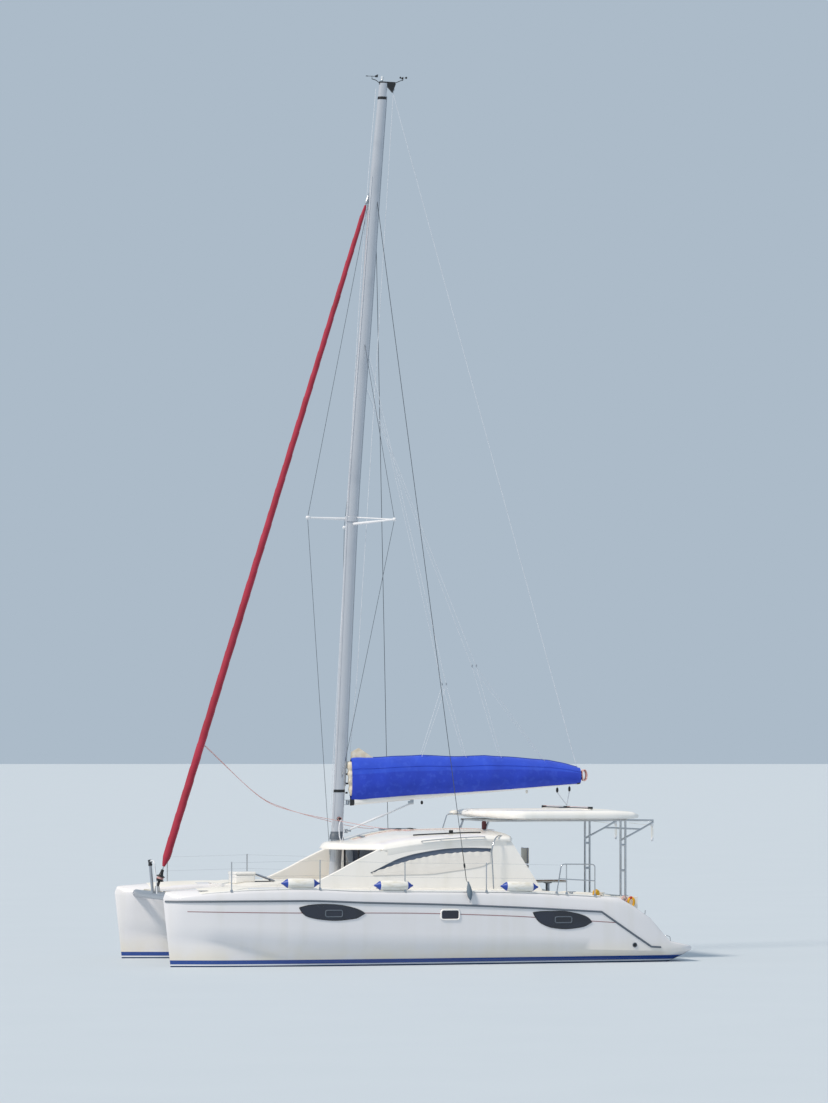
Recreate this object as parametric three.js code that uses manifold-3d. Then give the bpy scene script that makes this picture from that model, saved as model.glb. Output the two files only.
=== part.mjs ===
import * as THREE from 'three';
import { mergeVertices } from 'three/addons/utils/BufferGeometryUtils.js';
import Module from 'manifold-3d';

// Cruising catamaran afloat. Millimetres, +X to the bows, +Y to port, +Z up.
// The origin is on the centreline, amidships, in the plane of the waterline.

const wasm = await Module();
wasm.setup();

// Driving dimensions
const HALF_LENGTH = 5725;         // stem head and stern platform
const HULL_Y = 2160;              // centreline of each hull
const STEM_TOP = 1524;            // height of the stem head
const SEAT_GAP = 0.3;             // between a piece and what it is seated on
const RUN_GAP = 6;                // between moving pieces

const BRIDGE = { front: 3750, aft: -4900, underside: 740, wide: 1700 };
const SALOON = { sole: 950, aft: -1930, wall: 60, sill: 1930, sideY: 1980, tumblehome: 0.12 };
const COCKPIT = { sole: 1000, beamTop: 1350, beamFront: -4300 };
const WINDSCREEN = { centreX: 1090, sweep: 480, halfWidth: 1790, thickness: 16 };
const MAST = { foot: 1700, top: 18930, chord: 265, breadth: 175, spreaders: 9475, hounds: 16700 };
const BOOM = { pinX: 1105, pinZ: 3375, lean: -0.0484, rise: 0.0871, aft: -4180, depth: 140, breadth: 130 };
const VANG = { footZ: 2760, headX: -345, drop: 70, radius: 26 };
const HARDTOP = { front: -1480, aft: -4880, under: 3010, top: 3215, halfWidth: 1990 };
const POSTS = { x: -4705, spacing: 110, y: 1170, radius: 24, foot: 1350 };
const CROSSBEAM = { x: 5300, z: 1440, radius: 95 };
const NET = { front: 5150, thickness: 14, z: 1490 };
const ENGINE_BAY = { front: -3150, aft: -3950, halfWidth: 330, floor: 60, lip: 40, lid: 28 };
const RUDDER = { stockX: -4550, stockRadius: 30, boreRadius: 30.9, stockTop: 250, tip: -950 };
const DRIVE = { x: -3300, z: -720, bulb: 55, tail: -3500 };
const PROPELLER = { radius: 200, hub: 48, length: 110 };
const HELM = { x: -2560, y: -1400, z: 2060, radius: 360 };
const DOOR = { y0: -560, y1: 240, open: 800, bottom: 1030, top: 2430, thickness: 26 };
const LADDER = {
  side: -1, pivotX: -HALF_LENGTH - 18, pivotZ: 348, half: 190, reach: 500, radius: 10, slope: 12.4,
};
const HATCH = { hinge: 2790, length: 430, halfWidth: 260, open: 20, thickness: 24 };

const port = 1, starboard = -1;
const boat = new THREE.Group();

// Finishes: colour, roughness, metalness
const FINISH = {
  gelcoat: [0xf1efe9, 0.3, 0],
  deck: [0xe6e4dd, 0.6, 0],
  antifouling: [0x1b2f66, 0.7, 0],
  aluminium: [0xaeb4bb, 0.35, 0.9],
  stainless: [0xc9ccd0, 0.2, 1],
  bronze: [0x8a6a35, 0.4, 1],
  glass: [0x10161c, 0.08, 0],
  canvas: [0x1238a8, 0.85, 0],
  genoa: [0xa8142c, 0.85, 0],
  net: [0xd8dade, 0.9, 0],
  upholstery: [0xd9d4c6, 0.8, 0],
  iron: [0x55595c, 0.6, 0.5],
  timber: [0x8a6742, 0.5, 0],
  black: [0x16181a, 0.5, 0],
};

// Makes a geometry with shared vertices and faces that point outwards
function closed(geometry) {
  for (const name of ['normal', 'uv']) geometry.deleteAttribute(name);
  const merged = mergeVertices(geometry, 1e-3);
  const p = merged.attributes.position, index = merged.index.array;
  const [a, b, c] = [0, 1, 2].map(() => new THREE.Vector3());
  let volume = 0;
  for (let i = 0; i < index.length; i += 3) {
    [a, b, c].forEach((v, k) => v.fromBufferAttribute(p, index[i + k]));
    volume += a.dot(b.cross(c));
  }
  for (let i = 0; volume < 0 && i < index.length; i += 3) {
    [index[i], index[i + 1]] = [index[i + 1], index[i]];
  }
  return merged;
}

function toSolid(geometry) {
  const vertProperties = new Float32Array(geometry.attributes.position.array);
  const triVerts = new Uint32Array(geometry.index.array);
  return new wasm.Manifold(new wasm.Mesh({ numProp: 3, vertProperties, triVerts }));
}

function toGeometry(solid) {
  const { vertProperties, triVerts } = solid.getMesh();
  const geometry = new THREE.BufferGeometry();
  geometry.setAttribute('position', new THREE.BufferAttribute(vertProperties, 3));
  geometry.setIndex(new THREE.BufferAttribute(triVerts, 1));
  return geometry;
}

const combine = (method) => (first, ...others) =>
  toGeometry(others.reduce((solid, other) => solid[method](toSolid(other)), toSolid(first)));
const join = combine('add'), cut = combine('subtract'), meet = combine('intersect');

const shifted = (geometry, x, y, z) => geometry.clone().translate(x, y, z);

// Triangles that close an outline in space, in the sense of the outline
function capFaces(points) {
  const normal = new THREE.Vector3();
  points.forEach(([x, y, z], i) => {
    const [u, v, w] = points[(i + 1) % points.length];
    normal.add(new THREE.Vector3((y - v) * (z + w), (z - w) * (x + u), (x - u) * (y + v)));
  });
  const size = normal.toArray().map(Math.abs);
  const drop = size.indexOf(Math.max(...size));
  const flat = points.map((p) => new THREE.Vector2(p[(drop + 1) % 3], p[(drop + 2) % 3]));
  return THREE.ShapeUtils.triangulateShape(flat, []).map((face) => {
    const [a, b, c] = face.map((i) => flat[i]);
    const turn = (b.x - a.x) * (c.y - a.y) - (b.y - a.y) * (c.x - a.x);
    return turn * normal.getComponent(drop) > 0 ? face : face.slice().reverse();
  });
}

// A closed solid through outlines of equal length, flat at both ends
function loft(sections) {
  const n = sections[0].length, last = (sections.length - 1) * n, index = [];
  for (let s = 0; s < last; s += n) {
    for (let i = 0; i < n; i++) {
      const j = (i + 1) % n;
      index.push(s + i, s + j, s + n + j, s + i, s + n + j, s + n + i);
    }
  }
  capFaces(sections[0]).forEach(([a, b, c]) => index.push(a, c, b));
  capFaces(sections.at(-1)).forEach((face) => index.push(...face.map((i) => i + last)));
  const geometry = new THREE.BufferGeometry();
  geometry.setAttribute('position', new THREE.Float32BufferAttribute(sections.flat(2), 3));
  geometry.setIndex(index);
  return closed(geometry);
}

function box([x0, x1], [y0, y1], [z0, z1]) {
  const geometry = new THREE.BoxGeometry(Math.abs(x1 - x0), Math.abs(y1 - y0), Math.abs(z1 - z0));
  return closed(geometry.translate((x0 + x1) / 2, (y0 + y1) / 2, (z0 + z1) / 2));
}

const atHeight = (outline, z) => outline.map(([x, y]) => [x, y, z]);

// An outline of [x, z] points pulled from y0 to y1
const sideways = (outline, y0, y1) => loft([y0, y1].map((y) => outline.map(([x, z]) => [x, y, z])));
// An outline of [x, y] points pulled from z0 to z1
const upright = (outline, z0, z1) => loft([z0, z1].map((z) => atHeight(outline, z)));

// A round tube along a mitred line; each point is [x, y, z] and may add its own radius
function tube(points, radius, sides = 8) {
  const at = points.map(([x, y, z]) => new THREE.Vector3(x, y, z));
  const way = at.slice(1).map((p, i) => p.clone().sub(at[i]).normalize());
  const helper = Math.abs(way[0].y) > 0.9 ? new THREE.Vector3(1, 0, 0) : new THREE.Vector3(0, 1, 0);
  let across = helper.clone().cross(way[0]).normalize();
  return loft(at.map((centre, i) => {
    const before = way[Math.max(i - 1, 0)], after = way[Math.min(i, way.length - 1)];
    across = across.clone().projectOnPlane(before).normalize();
    const upward = before.clone().cross(across), mitre = before.clone().add(after).normalize();
    return Array.from({ length: sides }, (_, k) => {
      const angle = (k + 0.5) * 2 * Math.PI / sides, r = points[i][3] ?? radius;
      const spoke = across.clone().multiplyScalar(r * Math.cos(angle));
      spoke.addScaledVector(upward, r * Math.sin(angle));
      spoke.addScaledVector(before, -spoke.dot(mitre) / before.dot(mitre));
      return spoke.add(centre).toArray();
    });
  }));
}

// A value read from a table of [x, value] rows that fall in x
function along(table, x) {
  const i = Math.max(1, table.findIndex(([rowX]) => rowX <= x));
  const [x0, a] = table[i - 1], [x1, b] = table[i];
  return THREE.MathUtils.mapLinear(THREE.MathUtils.clamp(x, x1, x0), x0, x1, a, b);
}

function piece(name, geometry, [colour, roughness, metalness], group = boat) {
  const material = new THREE.MeshStandardMaterial({ color: colour, roughness, metalness });
  const mesh = new THREE.Mesh(geometry, material);
  geometry.computeVertexNormals();
  mesh.name = name;
  group.add(mesh);
  return mesh;
}

// Hull stations from the stem to the stern platform. Columns: x, rake of the station, keel height,
// bilge, breadth at the waterline, foot of the chine, chine, rubbing rail and sheer as
// [half breadth, height], and the height of the deck's crown.
const STATIONS = [
  [5725, 170, -90, [6, -40], 8, [10, 640], [12, 676], [16, 1360], [16, 1524], 1530],
  [5350, 130, -330, [60, -200], 110, [150, 590], [175, 655], [300, 1362], [290, 1545], 1575],
  [4700, 60, -400, [180, -250], 290, [365, 545], [430, 612], [560, 1366], [535, 1600], 1640],
  [3800, 20, -440, [310, -270], 425, [485, 350], [650, 560], [740, 1369], [705, 1620], 1665],
  [2900, 0, -465, [420, -280], 520, [560, 165], [780, 505], [820, 1369], [780, 1607], 1650],
  [1600, 0, -490, [500, -290], 585, [615, 125], [830, 425], [850, 1322], [812, 1550], 1600],
  [0, 0, -500, [530, -290], 615, [640, 120], [845, 365], [850, 1270], [812, 1530], 1585],
  [-1800, 0, -470, [530, -270], 620, [645, 118], [845, 330], [850, 1188], [812, 1498], 1550],
  [-3620, 0, -340, [500, -190], 610, [640, 115], [838, 280], [846, 1080], [806, 1395], 1440],
  [-4040, 0, -290, [490, -160], 600, [635, 112], [830, 265], [838, 797], [790, 1365], 1390],
  [-4365, 0, -235, [475, -130], 590, [625, 112], [820, 255], [830, 579], [772, 1190], 1210],
  [-4750, 0, -160, [450, -85], 570, [610, 112], [808, 246], [812, 330], [752, 930], 945],
  [-5190, 0, -60, [410, -20], 530, [590, 110], [775, 235], [785, 300], [730, 447], 450],
  [-5600, 0, 120, [340, 135], 400, [490, 150], [700, 228], [725, 258], [705, 358], 359],
  [-5725, 0, 226, [280, 228], 380, [450, 230], [580, 232], [615, 250], [610, 330], 331],
];

function hullSection([x, rake, keel, bilge, water, step, chine, rail, sheer, crown]) {
  const waterline = [water, Math.max(0, bilge[1] + 1)];
  const side = [bilge, waterline, step, chine, rail, sheer];
  const outline = [[0, keel], ...side, [0, crown], ...side.slice().reverse().map(([y, z]) => [-y, z])];
  return outline.map(([y, z]) => [x + rake * (z - STEM_TOP) / STEM_TOP, y, z]);
}

const hullForm = (side) => shifted(loft(STATIONS.map(hullSection)), 0, side * HULL_Y, 0);
const stationTable = (read) => STATIONS.map((row) => [row[0], read(row)]);
const sheerHeight = (x) => along(stationTable((row) => row[8][1]), x);
const sheerHalf = (x) => along(stationTable((row) => row[8][0]), x);

// The stern steps: front, aft end and height of each tread
const TREADS = [[-4060, -4380, 1080], [-4380, -4690, 800], [-4690, -5000, 540], [-5000, -5200, 400]];

function hull(side) {
  const y = side * HULL_Y, high = 2200;
  const steps = TREADS.map(([front, aft, z]) => box([front, aft - 1], [y - 600, y + 600], [z, high]));
  const { front, aft, halfWidth, floor } = ENGINE_BAY;
  const bay = box([front, aft], [y - halfWidth, y + halfWidth], [floor, high]);
  const { stockX, stockTop, boreRadius } = RUDDER;
  const bore = tube([[stockX, y, -900], [stockX, y, stockTop + 20]], boreRadius, 16);
  const form = side === LADDER.side ? join(hullForm(side), ...ladderLugs(y)) : hullForm(side);
  return cut(form, ...steps, bay, bore);
}

const lifted = (geometry) => shifted(geometry, 0, 0, SEAT_GAP);
const hullForms = [port, starboard].map((side) => hullForm(side));
// Both hulls a hair higher and nearer the centreline, to cut what lands on them
const hullSeats = [port, starboard].map((side) => shifted(hullForm(side), 0, -side * SEAT_GAP, SEAT_GAP));

function makeHulls() {
  for (const [name, side] of [['port', port], ['starboard', starboard]]) {
    piece(`hull_${name}`, hull(side), FINISH.gelcoat);
    piece(`keel_${name}`, keel(side), FINISH.antifouling);
  }
}

// A foil outline about [x, y] with its nose forward
function foil(nose, tail, half, y = 0) {
  const chord = nose - tail;
  const shape = [[0, 0], [0.06, 0.7], [0.3, 1], [0.65, 0.62], [1, 0.06]];
  const upper = shape.map(([t, w]) => [nose - t * chord, y + w * half]);
  return [...upper, ...shape.slice(1).reverse().map(([t, w]) => [nose - t * chord, y - w * half])];
}

function keel(side) {
  const y = side * HULL_Y, low = shifted(hullForms[side > 0 ? 0 : 1], 0, 0, -SEAT_GAP);
  const levels = [[-300, 950, -1750, 130], [-700, 800, -1600, 110], [-1090, 560, -1480, 85]];
  const body = loft(levels.map(([z, nose, tail, half]) => atHeight(foil(nose, tail, half, y), z)));
  return cut(body, low);
}

// The bridgedeck: nacelle, foredeck, saloon and cockpit soles and the aft beam, seen from the side
function bridgedeck() {
  const { front, aft, underside, wide } = BRIDGE;
  const outline = [
    [aft, underside + 150], [aft, COCKPIT.beamTop], [COCKPIT.beamFront, COCKPIT.beamTop],
    [COCKPIT.beamFront, COCKPIT.sole], [SALOON.aft, COCKPIT.sole], [SALOON.aft, SALOON.sole],
    [SALOON.frontInside, SALOON.sole], [SALOON.frontInside, 1690], [2300, 1700], [front - 300, 1690],
    [front, 1640], [front, 1480], [front - 380, 1180], [front - 1050, 880], [front - 1900, underside],
    [aft + 500, underside],
  ];
  const block = sideways(outline, -wide, wide);
  return cut(join(block, frontWall()), ...hullSeats, ...sidePanelSeats());
}

// Plan of the curved front of the saloon, offset by a depth forwards
function frontCurve(depth, halfWidth = WINDSCREEN.halfWidth, steps = 8) {
  return Array.from({ length: steps + 1 }, (_, i) => {
    const y = halfWidth * (2 * i / steps - 1);
    return [WINDSCREEN.centreX - WINDSCREEN.sweep * (y / WINDSCREEN.halfWidth) ** 2 + depth, y];
  });
}

SALOON.frontInside = WINDSCREEN.centreX - WINDSCREEN.sweep - SALOON.wall;

const frontBand = (depth, z0, z1) => upright([...frontCurve(depth), ...frontCurve(0).reverse()], z0, z1);

// The front curve closed by a straight line across the boat, behind it
function frontPlan(depth, behind) {
  const half = WINDSCREEN.halfWidth, x = SALOON.frontInside - behind;
  return [...frontCurve(depth), [x, half], [x, -half]];
}

function frontWall() {
  const { sole, sill, wall } = SALOON;
  const well = upright(frontPlan(-wall, 700), sole, sill + 600);
  return cut(upright(frontPlan(0, 1), sole + 10, sill), well);
}

// The roof: columns x, half width, height at the edge, height at the crown and depth of the shell
const ROOF_ROWS = [
  [1700, 90, 2410, 2430, 30], [1570, 500, 2413, 2535, 35], [1370, 1040, 2420, 2560, 40],
  [1120, 1500, 2430, 2585, 45], [830, 1900, 2425, 2660, 50], [600, 1900, 2455, 2715, 60],
  [170, 1900, 2520, 2778, 60], [-480, 1900, 2580, 2792, 60], [-1340, 1900, 2620, 2807, 60],
  [-1940, 1900, 2620, 2775, 60], [-2080, 1600, 2620, 2745, 60], [-2270, 1000, 2610, 2695, 60],
  [-2450, 450, 2580, 2640, 60], [-2600, 80, 2575, 2597, 40],
];
const ROOF_BAYS = [-1, -0.92, -0.75, -0.4, 0, 0.4, 0.75, 0.92, 1];

const roofTop = ([, , edge, crown], t) => edge + (crown - edge) * Math.sqrt(1 - t * t);

function roofForm(topOffset = 0, underOffset = 0, sideOffset = 0) {
  return loft(ROOF_ROWS.map((row) => {
    const [x, half, , , depth] = row;
    const edge = (offset) => ROOF_BAYS.map((t) => [x, t * (half + sideOffset), roofTop(row, t) + offset]);
    return [...edge(topOffset), ...edge(underOffset - depth).reverse()];
  }));
}

function mastHole() {
  return mastForm(18, 2000, 3000);
}

// Everything above the roof's underside, to trim what carries the roof
const aboveRoof = () => roofForm(1500, -2 * SEAT_GAP, SEAT_GAP);

// Side of the saloon seen from port: columns x, z
const SIDE_OUTLINE = [
  [2450, 1500], [2450, 1665], [1930, 1900], [1620, 2060], [1290, 2222], [930, 2385], [600, 2500],
  [-480, 2700], [-1940, 2700], [-2640, 1520], [-2640, 1350],
];
const SIDE_WINDOW = [
  [1120, 1950], [750, 2100], [500, 2210], [110, 2310], [-515, 2400], [-1050, 2420], [-1530, 2405],
  [-1320, 2030], [-515, 2000], [330, 1955],
];

// Leans a side of the saloon inwards as it rises
function leaning(geometry, side) {
  const p = geometry.attributes.position;
  for (let i = 0; i < p.count; i++) {
    p.setY(i, side * (p.getY(i) - (p.getZ(i) - STEM_TOP) * SALOON.tumblehome));
  }
  return closed(geometry);
}

function sidePanel(side, inward = 0, outward = 0) {
  const { sideY, wall } = SALOON;
  return leaning(sideways(SIDE_OUTLINE, sideY - wall - inward, sideY + outward), side);
}

const sidePanelSeats = () => [port, starboard].map((side) => sidePanel(side, 2 * SEAT_GAP, 300));

function windowPrism(side, scale, y0, y1) {
  const middle = [-200, 2180];
  const outline = SIDE_WINDOW.map((p) => p.map((v, i) => middle[i] + (v - middle[i]) * scale));
  return leaning(sideways(outline, y0, y1), side);
}

function makeDeckhouse() {
  const { sideY, wall, sill } = SALOON;
  const above = aboveRoof();
  piece('bridgedeck', bridgedeck(), FINISH.gelcoat);
  piece('saloon_roof', cut(roofForm(), mastHole()), FINISH.gelcoat);
  for (const [name, side] of [['port', port], ['starboard', starboard]]) {
    const opening = windowPrism(side, 1, sideY - wall - 50, sideY + 50);
    piece(`saloon_side_${name}`, cut(sidePanel(side), opening, above, ...hullSeats), FINISH.gelcoat);
    const pane = windowPrism(side, 0.9985, sideY - 34, sideY - 24);
    piece(`saloon_window_${name}`, pane, FINISH.glass);
  }
  const screen = frontBand(-WINDSCREEN.thickness, sill + SEAT_GAP, 2700);
  piece('windscreen', cut(screen, above, ...sidePanelSeats()), FINISH.glass);
  piece('aft_bulkhead', aftBulkhead(above), FINISH.gelcoat);
}

// Bulkhead between the saloon and the cockpit with its doorway, door sill and head rail
function aftBulkhead(above) {
  const { aft, wall } = SALOON;
  const slab = box([aft + wall, aft], [-1880, 1880], [COCKPIT.sole + SEAT_GAP, 2900]);
  const { y0, y1, open, bottom, top } = DOOR, railX = [aft + 1, aft - 60], railY = [y0, y1 + open + 30];
  const doorway = box([aft - 200, aft + 200], [y0 + 30, y1 - 30], [bottom + 20, top - 30]);
  const rail = box(railX, railY, [top + 1, top + 60]);
  const sill = box(railX, railY, [COCKPIT.sole + SEAT_GAP, bottom - 1]);
  return cut(join(cut(slab, doorway), rail, sill), above, ...hullSeats, ...sidePanelSeats());
}

function makeSaloonInside() {
  const sole = SALOON.sole + SEAT_GAP;
  const bench = [[250, -60], [250, 1240], [-1500, 1240], [-1500, 720], [-250, 720], [-250, -60]];
  piece('saloon_settee', upright(bench, sole, sole + 420), FINISH.upholstery);
  const leg = tube([[-800, 300, sole], [-800, 300, sole + 660]], 50, 10);
  const top = box([-350, -1250], [-20, 600], [sole + 640, sole + 680]);
  piece('saloon_table', join(leg, top), FINISH.timber);
  piece('galley_counter', box([250, -1750], [-1240, -700], [sole, sole + 900]), FINISH.deck);
}

function makeCockpit() {
  const sole = COCKPIT.sole + SEAT_GAP;
  const bench = [[-2900, 720], [-2900, 1290], [-4290, 1290], [-4290, -700], [-3800, -700], [-3800, 720]];
  piece('cockpit_bench', upright(bench, sole, sole + 400), FINISH.upholstery);
  const leg = tube([[-3350, 250, sole], [-3350, 250, sole + 650]], 45, 10);
  const top = box([-3000, -3700], [-50, 560], [sole + 630, sole + 665]);
  piece('cockpit_table', join(leg, top), FINISH.deck);
}

// The helm stands on the starboard side deck against the bulkhead, with its seat behind it
function makeHelm() {
  const face = HELM.x + 90, foot = 1460;
  const console = loft([[foot - 200, face - 60], [2250, face + 40]].map(([z, x]) => [
    [SALOON.aft - 62, -1080, z], [SALOON.aft - 62, -1800, z], [x, -1800, z], [x, -1080, z]]));
  const boss = tube([[face + 60, HELM.y, HELM.z], [HELM.x + 12.5, HELM.y, HELM.z]], 45, 16);
  const trimmed = cut(join(console, boss), ...hullSeats);
  piece('helm_console', trimmed, FINISH.gelcoat);
  const seat = join(
    box([-3050, -3450], [-1740, -1290], [1900, 1990]),
    box([-3390, -3450], [-1740, -1290], [1980, 2350]),
    tube([[-3250, -1515, 1300], [-3250, -1515, 1950]], 60, 10),
  );
  piece('helm_seat', cut(seat, ...hullSeats), FINISH.upholstery);
  piece('helm_wheel', helmWheel(), FINISH.stainless);
}

function helmWheel() {
  const spokes = 5, { x, y, z, radius } = HELM;
  const rim = new THREE.TorusGeometry(radius, 14, 6, 30).rotateY(Math.PI / 2).translate(x, y, z);
  const arms = Array.from({ length: spokes }, (_, i) => {
    const angle = (i + 0.25) * 2 * Math.PI / spokes;
    return tube([[x, y, z], [x, y + radius * Math.sin(angle), z + radius * Math.cos(angle)]], 9, 6);
  });
  const hub = tube([[x + 12, y, z], [x - 30, y, z]], 40, 16);
  return join(hub, closed(rim), ...arms);
}

// Mast stations: height, centre in x, chord and breadth of the oval section
const MAST_ROWS = [
  [1700, 1390, 265, 175], [3430, 1300, 265, 175], [7300, 1115, 265, 175], [9475, 1010, 265, 175],
  [12000, 840, 265, 175], [14220, 670, 262, 172], [16600, 500, 250, 165], [18930, 300, 190, 130],
];
const mastValue = (z, column) => along(MAST_ROWS.map((row) => [-row[0], row[column]]), -z);
const mastX = (z) => mastValue(z, 1);

function mastForm(grow, low = MAST.foot, high = MAST.top) {
  const inside = MAST_ROWS.filter(([z]) => z > low && z < high);
  const ends = [low, high].map((z) => [z, ...[1, 2, 3].map((column) => mastValue(z, column))]);
  return loft([ends[0], ...inside, ends[1]].map(([z, x, chord, breadth]) =>
    Array.from({ length: 12 }, (_, i) => {
      const angle = (i + 0.5) * Math.PI / 6;
      return [x + (chord / 2 + grow) * Math.cos(angle), (breadth / 2 + grow) * Math.sin(angle), z];
    })));
}

// The axis that the boom swings about, behind the mast and leaning with it
const axisX = (z) => BOOM.pinX + (z - BOOM.pinZ) * BOOM.lean;
const axisPoint = (z) => [axisX(z), 0, z];
const axisPin = (z, half, radius) => tube([axisPoint(z - half), axisPoint(z + half)], radius, 16);

const VANE_X = 560, CUPS_X = -140, POST_TOP = MAST.top + 120;

// Two cheeks and a pin on the back of the mast
function cheeks(z, gap) {
  const plate = 14, x0 = axisX(z) - 34, x1 = mastX(z) - MAST.chord / 2 + 30;
  const plates = [-1, 1].map((s) => box([x0, x1], [-32, 32], [z + s * gap, z + s * (gap + plate)]));
  return [...plates, axisPin(z, gap + plate - 2, 12)];
}

function mast() {
  const headX = mastX(MAST.top);
  const head = box([headX + 110, headX - 260], [-30, 30], [MAST.top - 40, MAST.top + 26]);
  const vanePost = tube([[390, 0, MAST.top], [VANE_X, 0, MAST.top + 80], [VANE_X, 0, POST_TOP]], 8, 6);
  const cupPost = tube([[60, 0, MAST.top], [CUPS_X, 0, MAST.top + 80], [CUPS_X, 0, POST_TOP]], 8, 6);
  return join(mastForm(0), head, vanePost, cupPost, ...cheeks(BOOM.pinZ, 44), ...cheeks(VANG.footZ, 30));
}

function spreaders() {
  const z = MAST.spreaders, x = mastX(z);
  const collar = mastForm(26, z - 60, z + 60);
  const struts = [[2030, 0], [x - 375, 1900], [x - 375, -1900]].map(([tipX, tipY]) =>
    tube([[x, 0, z], [tipX, tipY, z + 25, 20]], 34, 8));
  return cut(join(collar, ...struts), mastForm(SEAT_GAP, z - 200, z + 200));
}

function makeRig() {
  piece('mast', cut(mast(), shifted(bridgedeck(), 0, 0, SEAT_GAP)), FINISH.aluminium);
  piece('spreaders', spreaders(), FINISH.aluminium);
  const stayFoot = [5314, 0, 1560], stayHead = [mastX(MAST.hounds) + 60, 0, MAST.hounds + 60];
  const onStay = (t, r) => [...stayFoot.map((v, i) => v + (stayHead[i] - v) * t), r];
  const stay = tube([onStay(0, 12), onStay(1, 12)], 12, 8);
  const onStays = (rows, sides) => tube(rows.map(([t, r]) => onStay(t, r)), 12, sides);
  const drum = onStays([[0.014, 30], [0.0145, 92], [0.022, 92], [0.0225, 30], [0.028, 30]], 12);
  const swivel = tube([onStay(0.972, 34), onStay(0.982, 34)], 34, 10);
  const plate = box([5100, 5500], [-100, 100], [1400, STAY_FOOT + SEAT_GAP]);
  const besideMast = mastForm(SEAT_GAP, MAST.hounds - 700, MAST.hounds + 800);
  piece('forestay', cut(join(stay, drum, swivel), plate, besideMast), FINISH.stainless);
  const roll = onStays([[0.031, 45], [0.045, 88], [0.3, 82], [0.7, 66], [0.95, 48], [0.968, 26]], 12);
  const bore = tube([onStay(0.02, 12.4), onStay(0.98, 12.4)], 12.4, 8);
  piece('furled_genoa', cut(roll, bore), FINISH.genoa);
  for (const [name, side] of [['port', port], ['starboard', starboard]]) {
    piece(`shroud_${name}`, shroud(side), FINISH.stainless);
  }
}

// Cap shroud with its turnbuckle and the tapered boot over the lower toggle
function shroud(side) {
  const foot = [-697, side * 2868, 1500], head = [mastX(MAST.hounds) - 20, side * 20, MAST.hounds];
  const at = (z, r) => {
    const t = (z - foot[2]) / (head[2] - foot[2]);
    return [...foot.map((v, i) => v + (head[i] - v) * t), r];
  };
  const rows = [[1500, 46], [1700, 46], [2080, 22], [2100, 14], [2400, 14], [2420, 6], [MAST.hounds, 6]];
  const rod = tube(rows.map(([z, r]) => at(z, r)), 6, 8);
  return cut(rod, ...hullSeats, mastForm(SEAT_GAP, MAST.hounds - 700, MAST.hounds + 800));
}

// The boom, its stowed sail under its cover and the strut below it swing together
function makeBoomBody() {
  const under = (x) => 3305 + (1050 - x) * BOOM.rise;
  const pinX = axisX(BOOM.pinZ), half = BOOM.breadth / 2;
  const rows = [[pinX - 60, 0.8], [700, 1], [-3900, 1], [BOOM.aft, 0.8]];
  const section = [[1, -0.6], [0.6, -1], [-0.6, -1], [-1, -0.6], [-1, 1], [1, 1]];
  const spar = loft(rows.map(([x, size]) => {
    const z = under(x) + BOOM.depth / 2, h = BOOM.depth / 2 * size;
    return section.map(([y, t]) => [x, y * half * size, z + t * h]);
  }));
  const eye = cut(axisPin(BOOM.pinZ, 42, 36), axisPin(BOOM.pinZ, 60, 12.6));
  const neck = box([pinX - 25, pinX - 90], [-18, 18], [BOOM.pinZ - 30, BOOM.pinZ + 30]);
  const { headX, drop, footZ } = VANG, headZ = under(headX) - drop, lugHalf = 10;
  const lug = box([headX + 40, headX - 40], [-lugHalf, lugHalf], [headZ - 30, under(headX) + 20]);
  piece('boom', cut(join(spar, neck, eye, lug), axisPin(BOOM.pinZ, 60, 12.6)), FINISH.gelcoat);

  const coverTop = [[980, 4350], [-70, 4390], [-2350, 4370], [-3720, 4240], [-4180, 4110]];
  const coverRows = [[980, 0.62], [700, 1], [-70, 1.05], [-2350, 1], [-3720, 0.8], [-4180, 0.5]];
  const cover = loft(coverRows.map(([x, size]) => {
    const z0 = under(x) + BOOM.depth + SEAT_GAP, h = along(coverTop, x) - z0;
    const outline = [[70, 0], [150, 0.12], [205, 0.38], [180, 0.65], [100, 0.9], [30, 1]];
    const portSide = outline.map(([y, t]) => [x, y * size, z0 + t * h]);
    return [...portSide, ...portSide.slice().reverse().map(([rowX, y, z]) => [rowX, -y, z])];
  }));
  piece('sail_cover', cover, FINISH.canvas);

  const footX = axisX(footZ), forkZ = headZ - 5, slotHalf = lugHalf + SEAT_GAP;
  const strut = tube([[footX - 74, 0, footZ + 36], [headX + 60, 0, forkZ]], VANG.radius, 10);
  const strutNeck = box([footX - 25, footX - 100], [-12, 12], [footZ - 16, footZ + 24]);
  const strutEye = axisPin(footZ, 28, 30);
  const fork = box([headX + 80, headX - 30], [-24, 24], [forkZ - 24, forkZ + 30]);
  const slot = box([headX + 43, headX - 300], [-slotHalf, slotHalf], [forkZ - 80, forkZ + 200]);
  const bore = axisPin(footZ, 60, 12.6);
  piece('vang', cut(join(strut, strutEye, strutNeck, fork), slot, bore), FINISH.aluminium);
}

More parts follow.
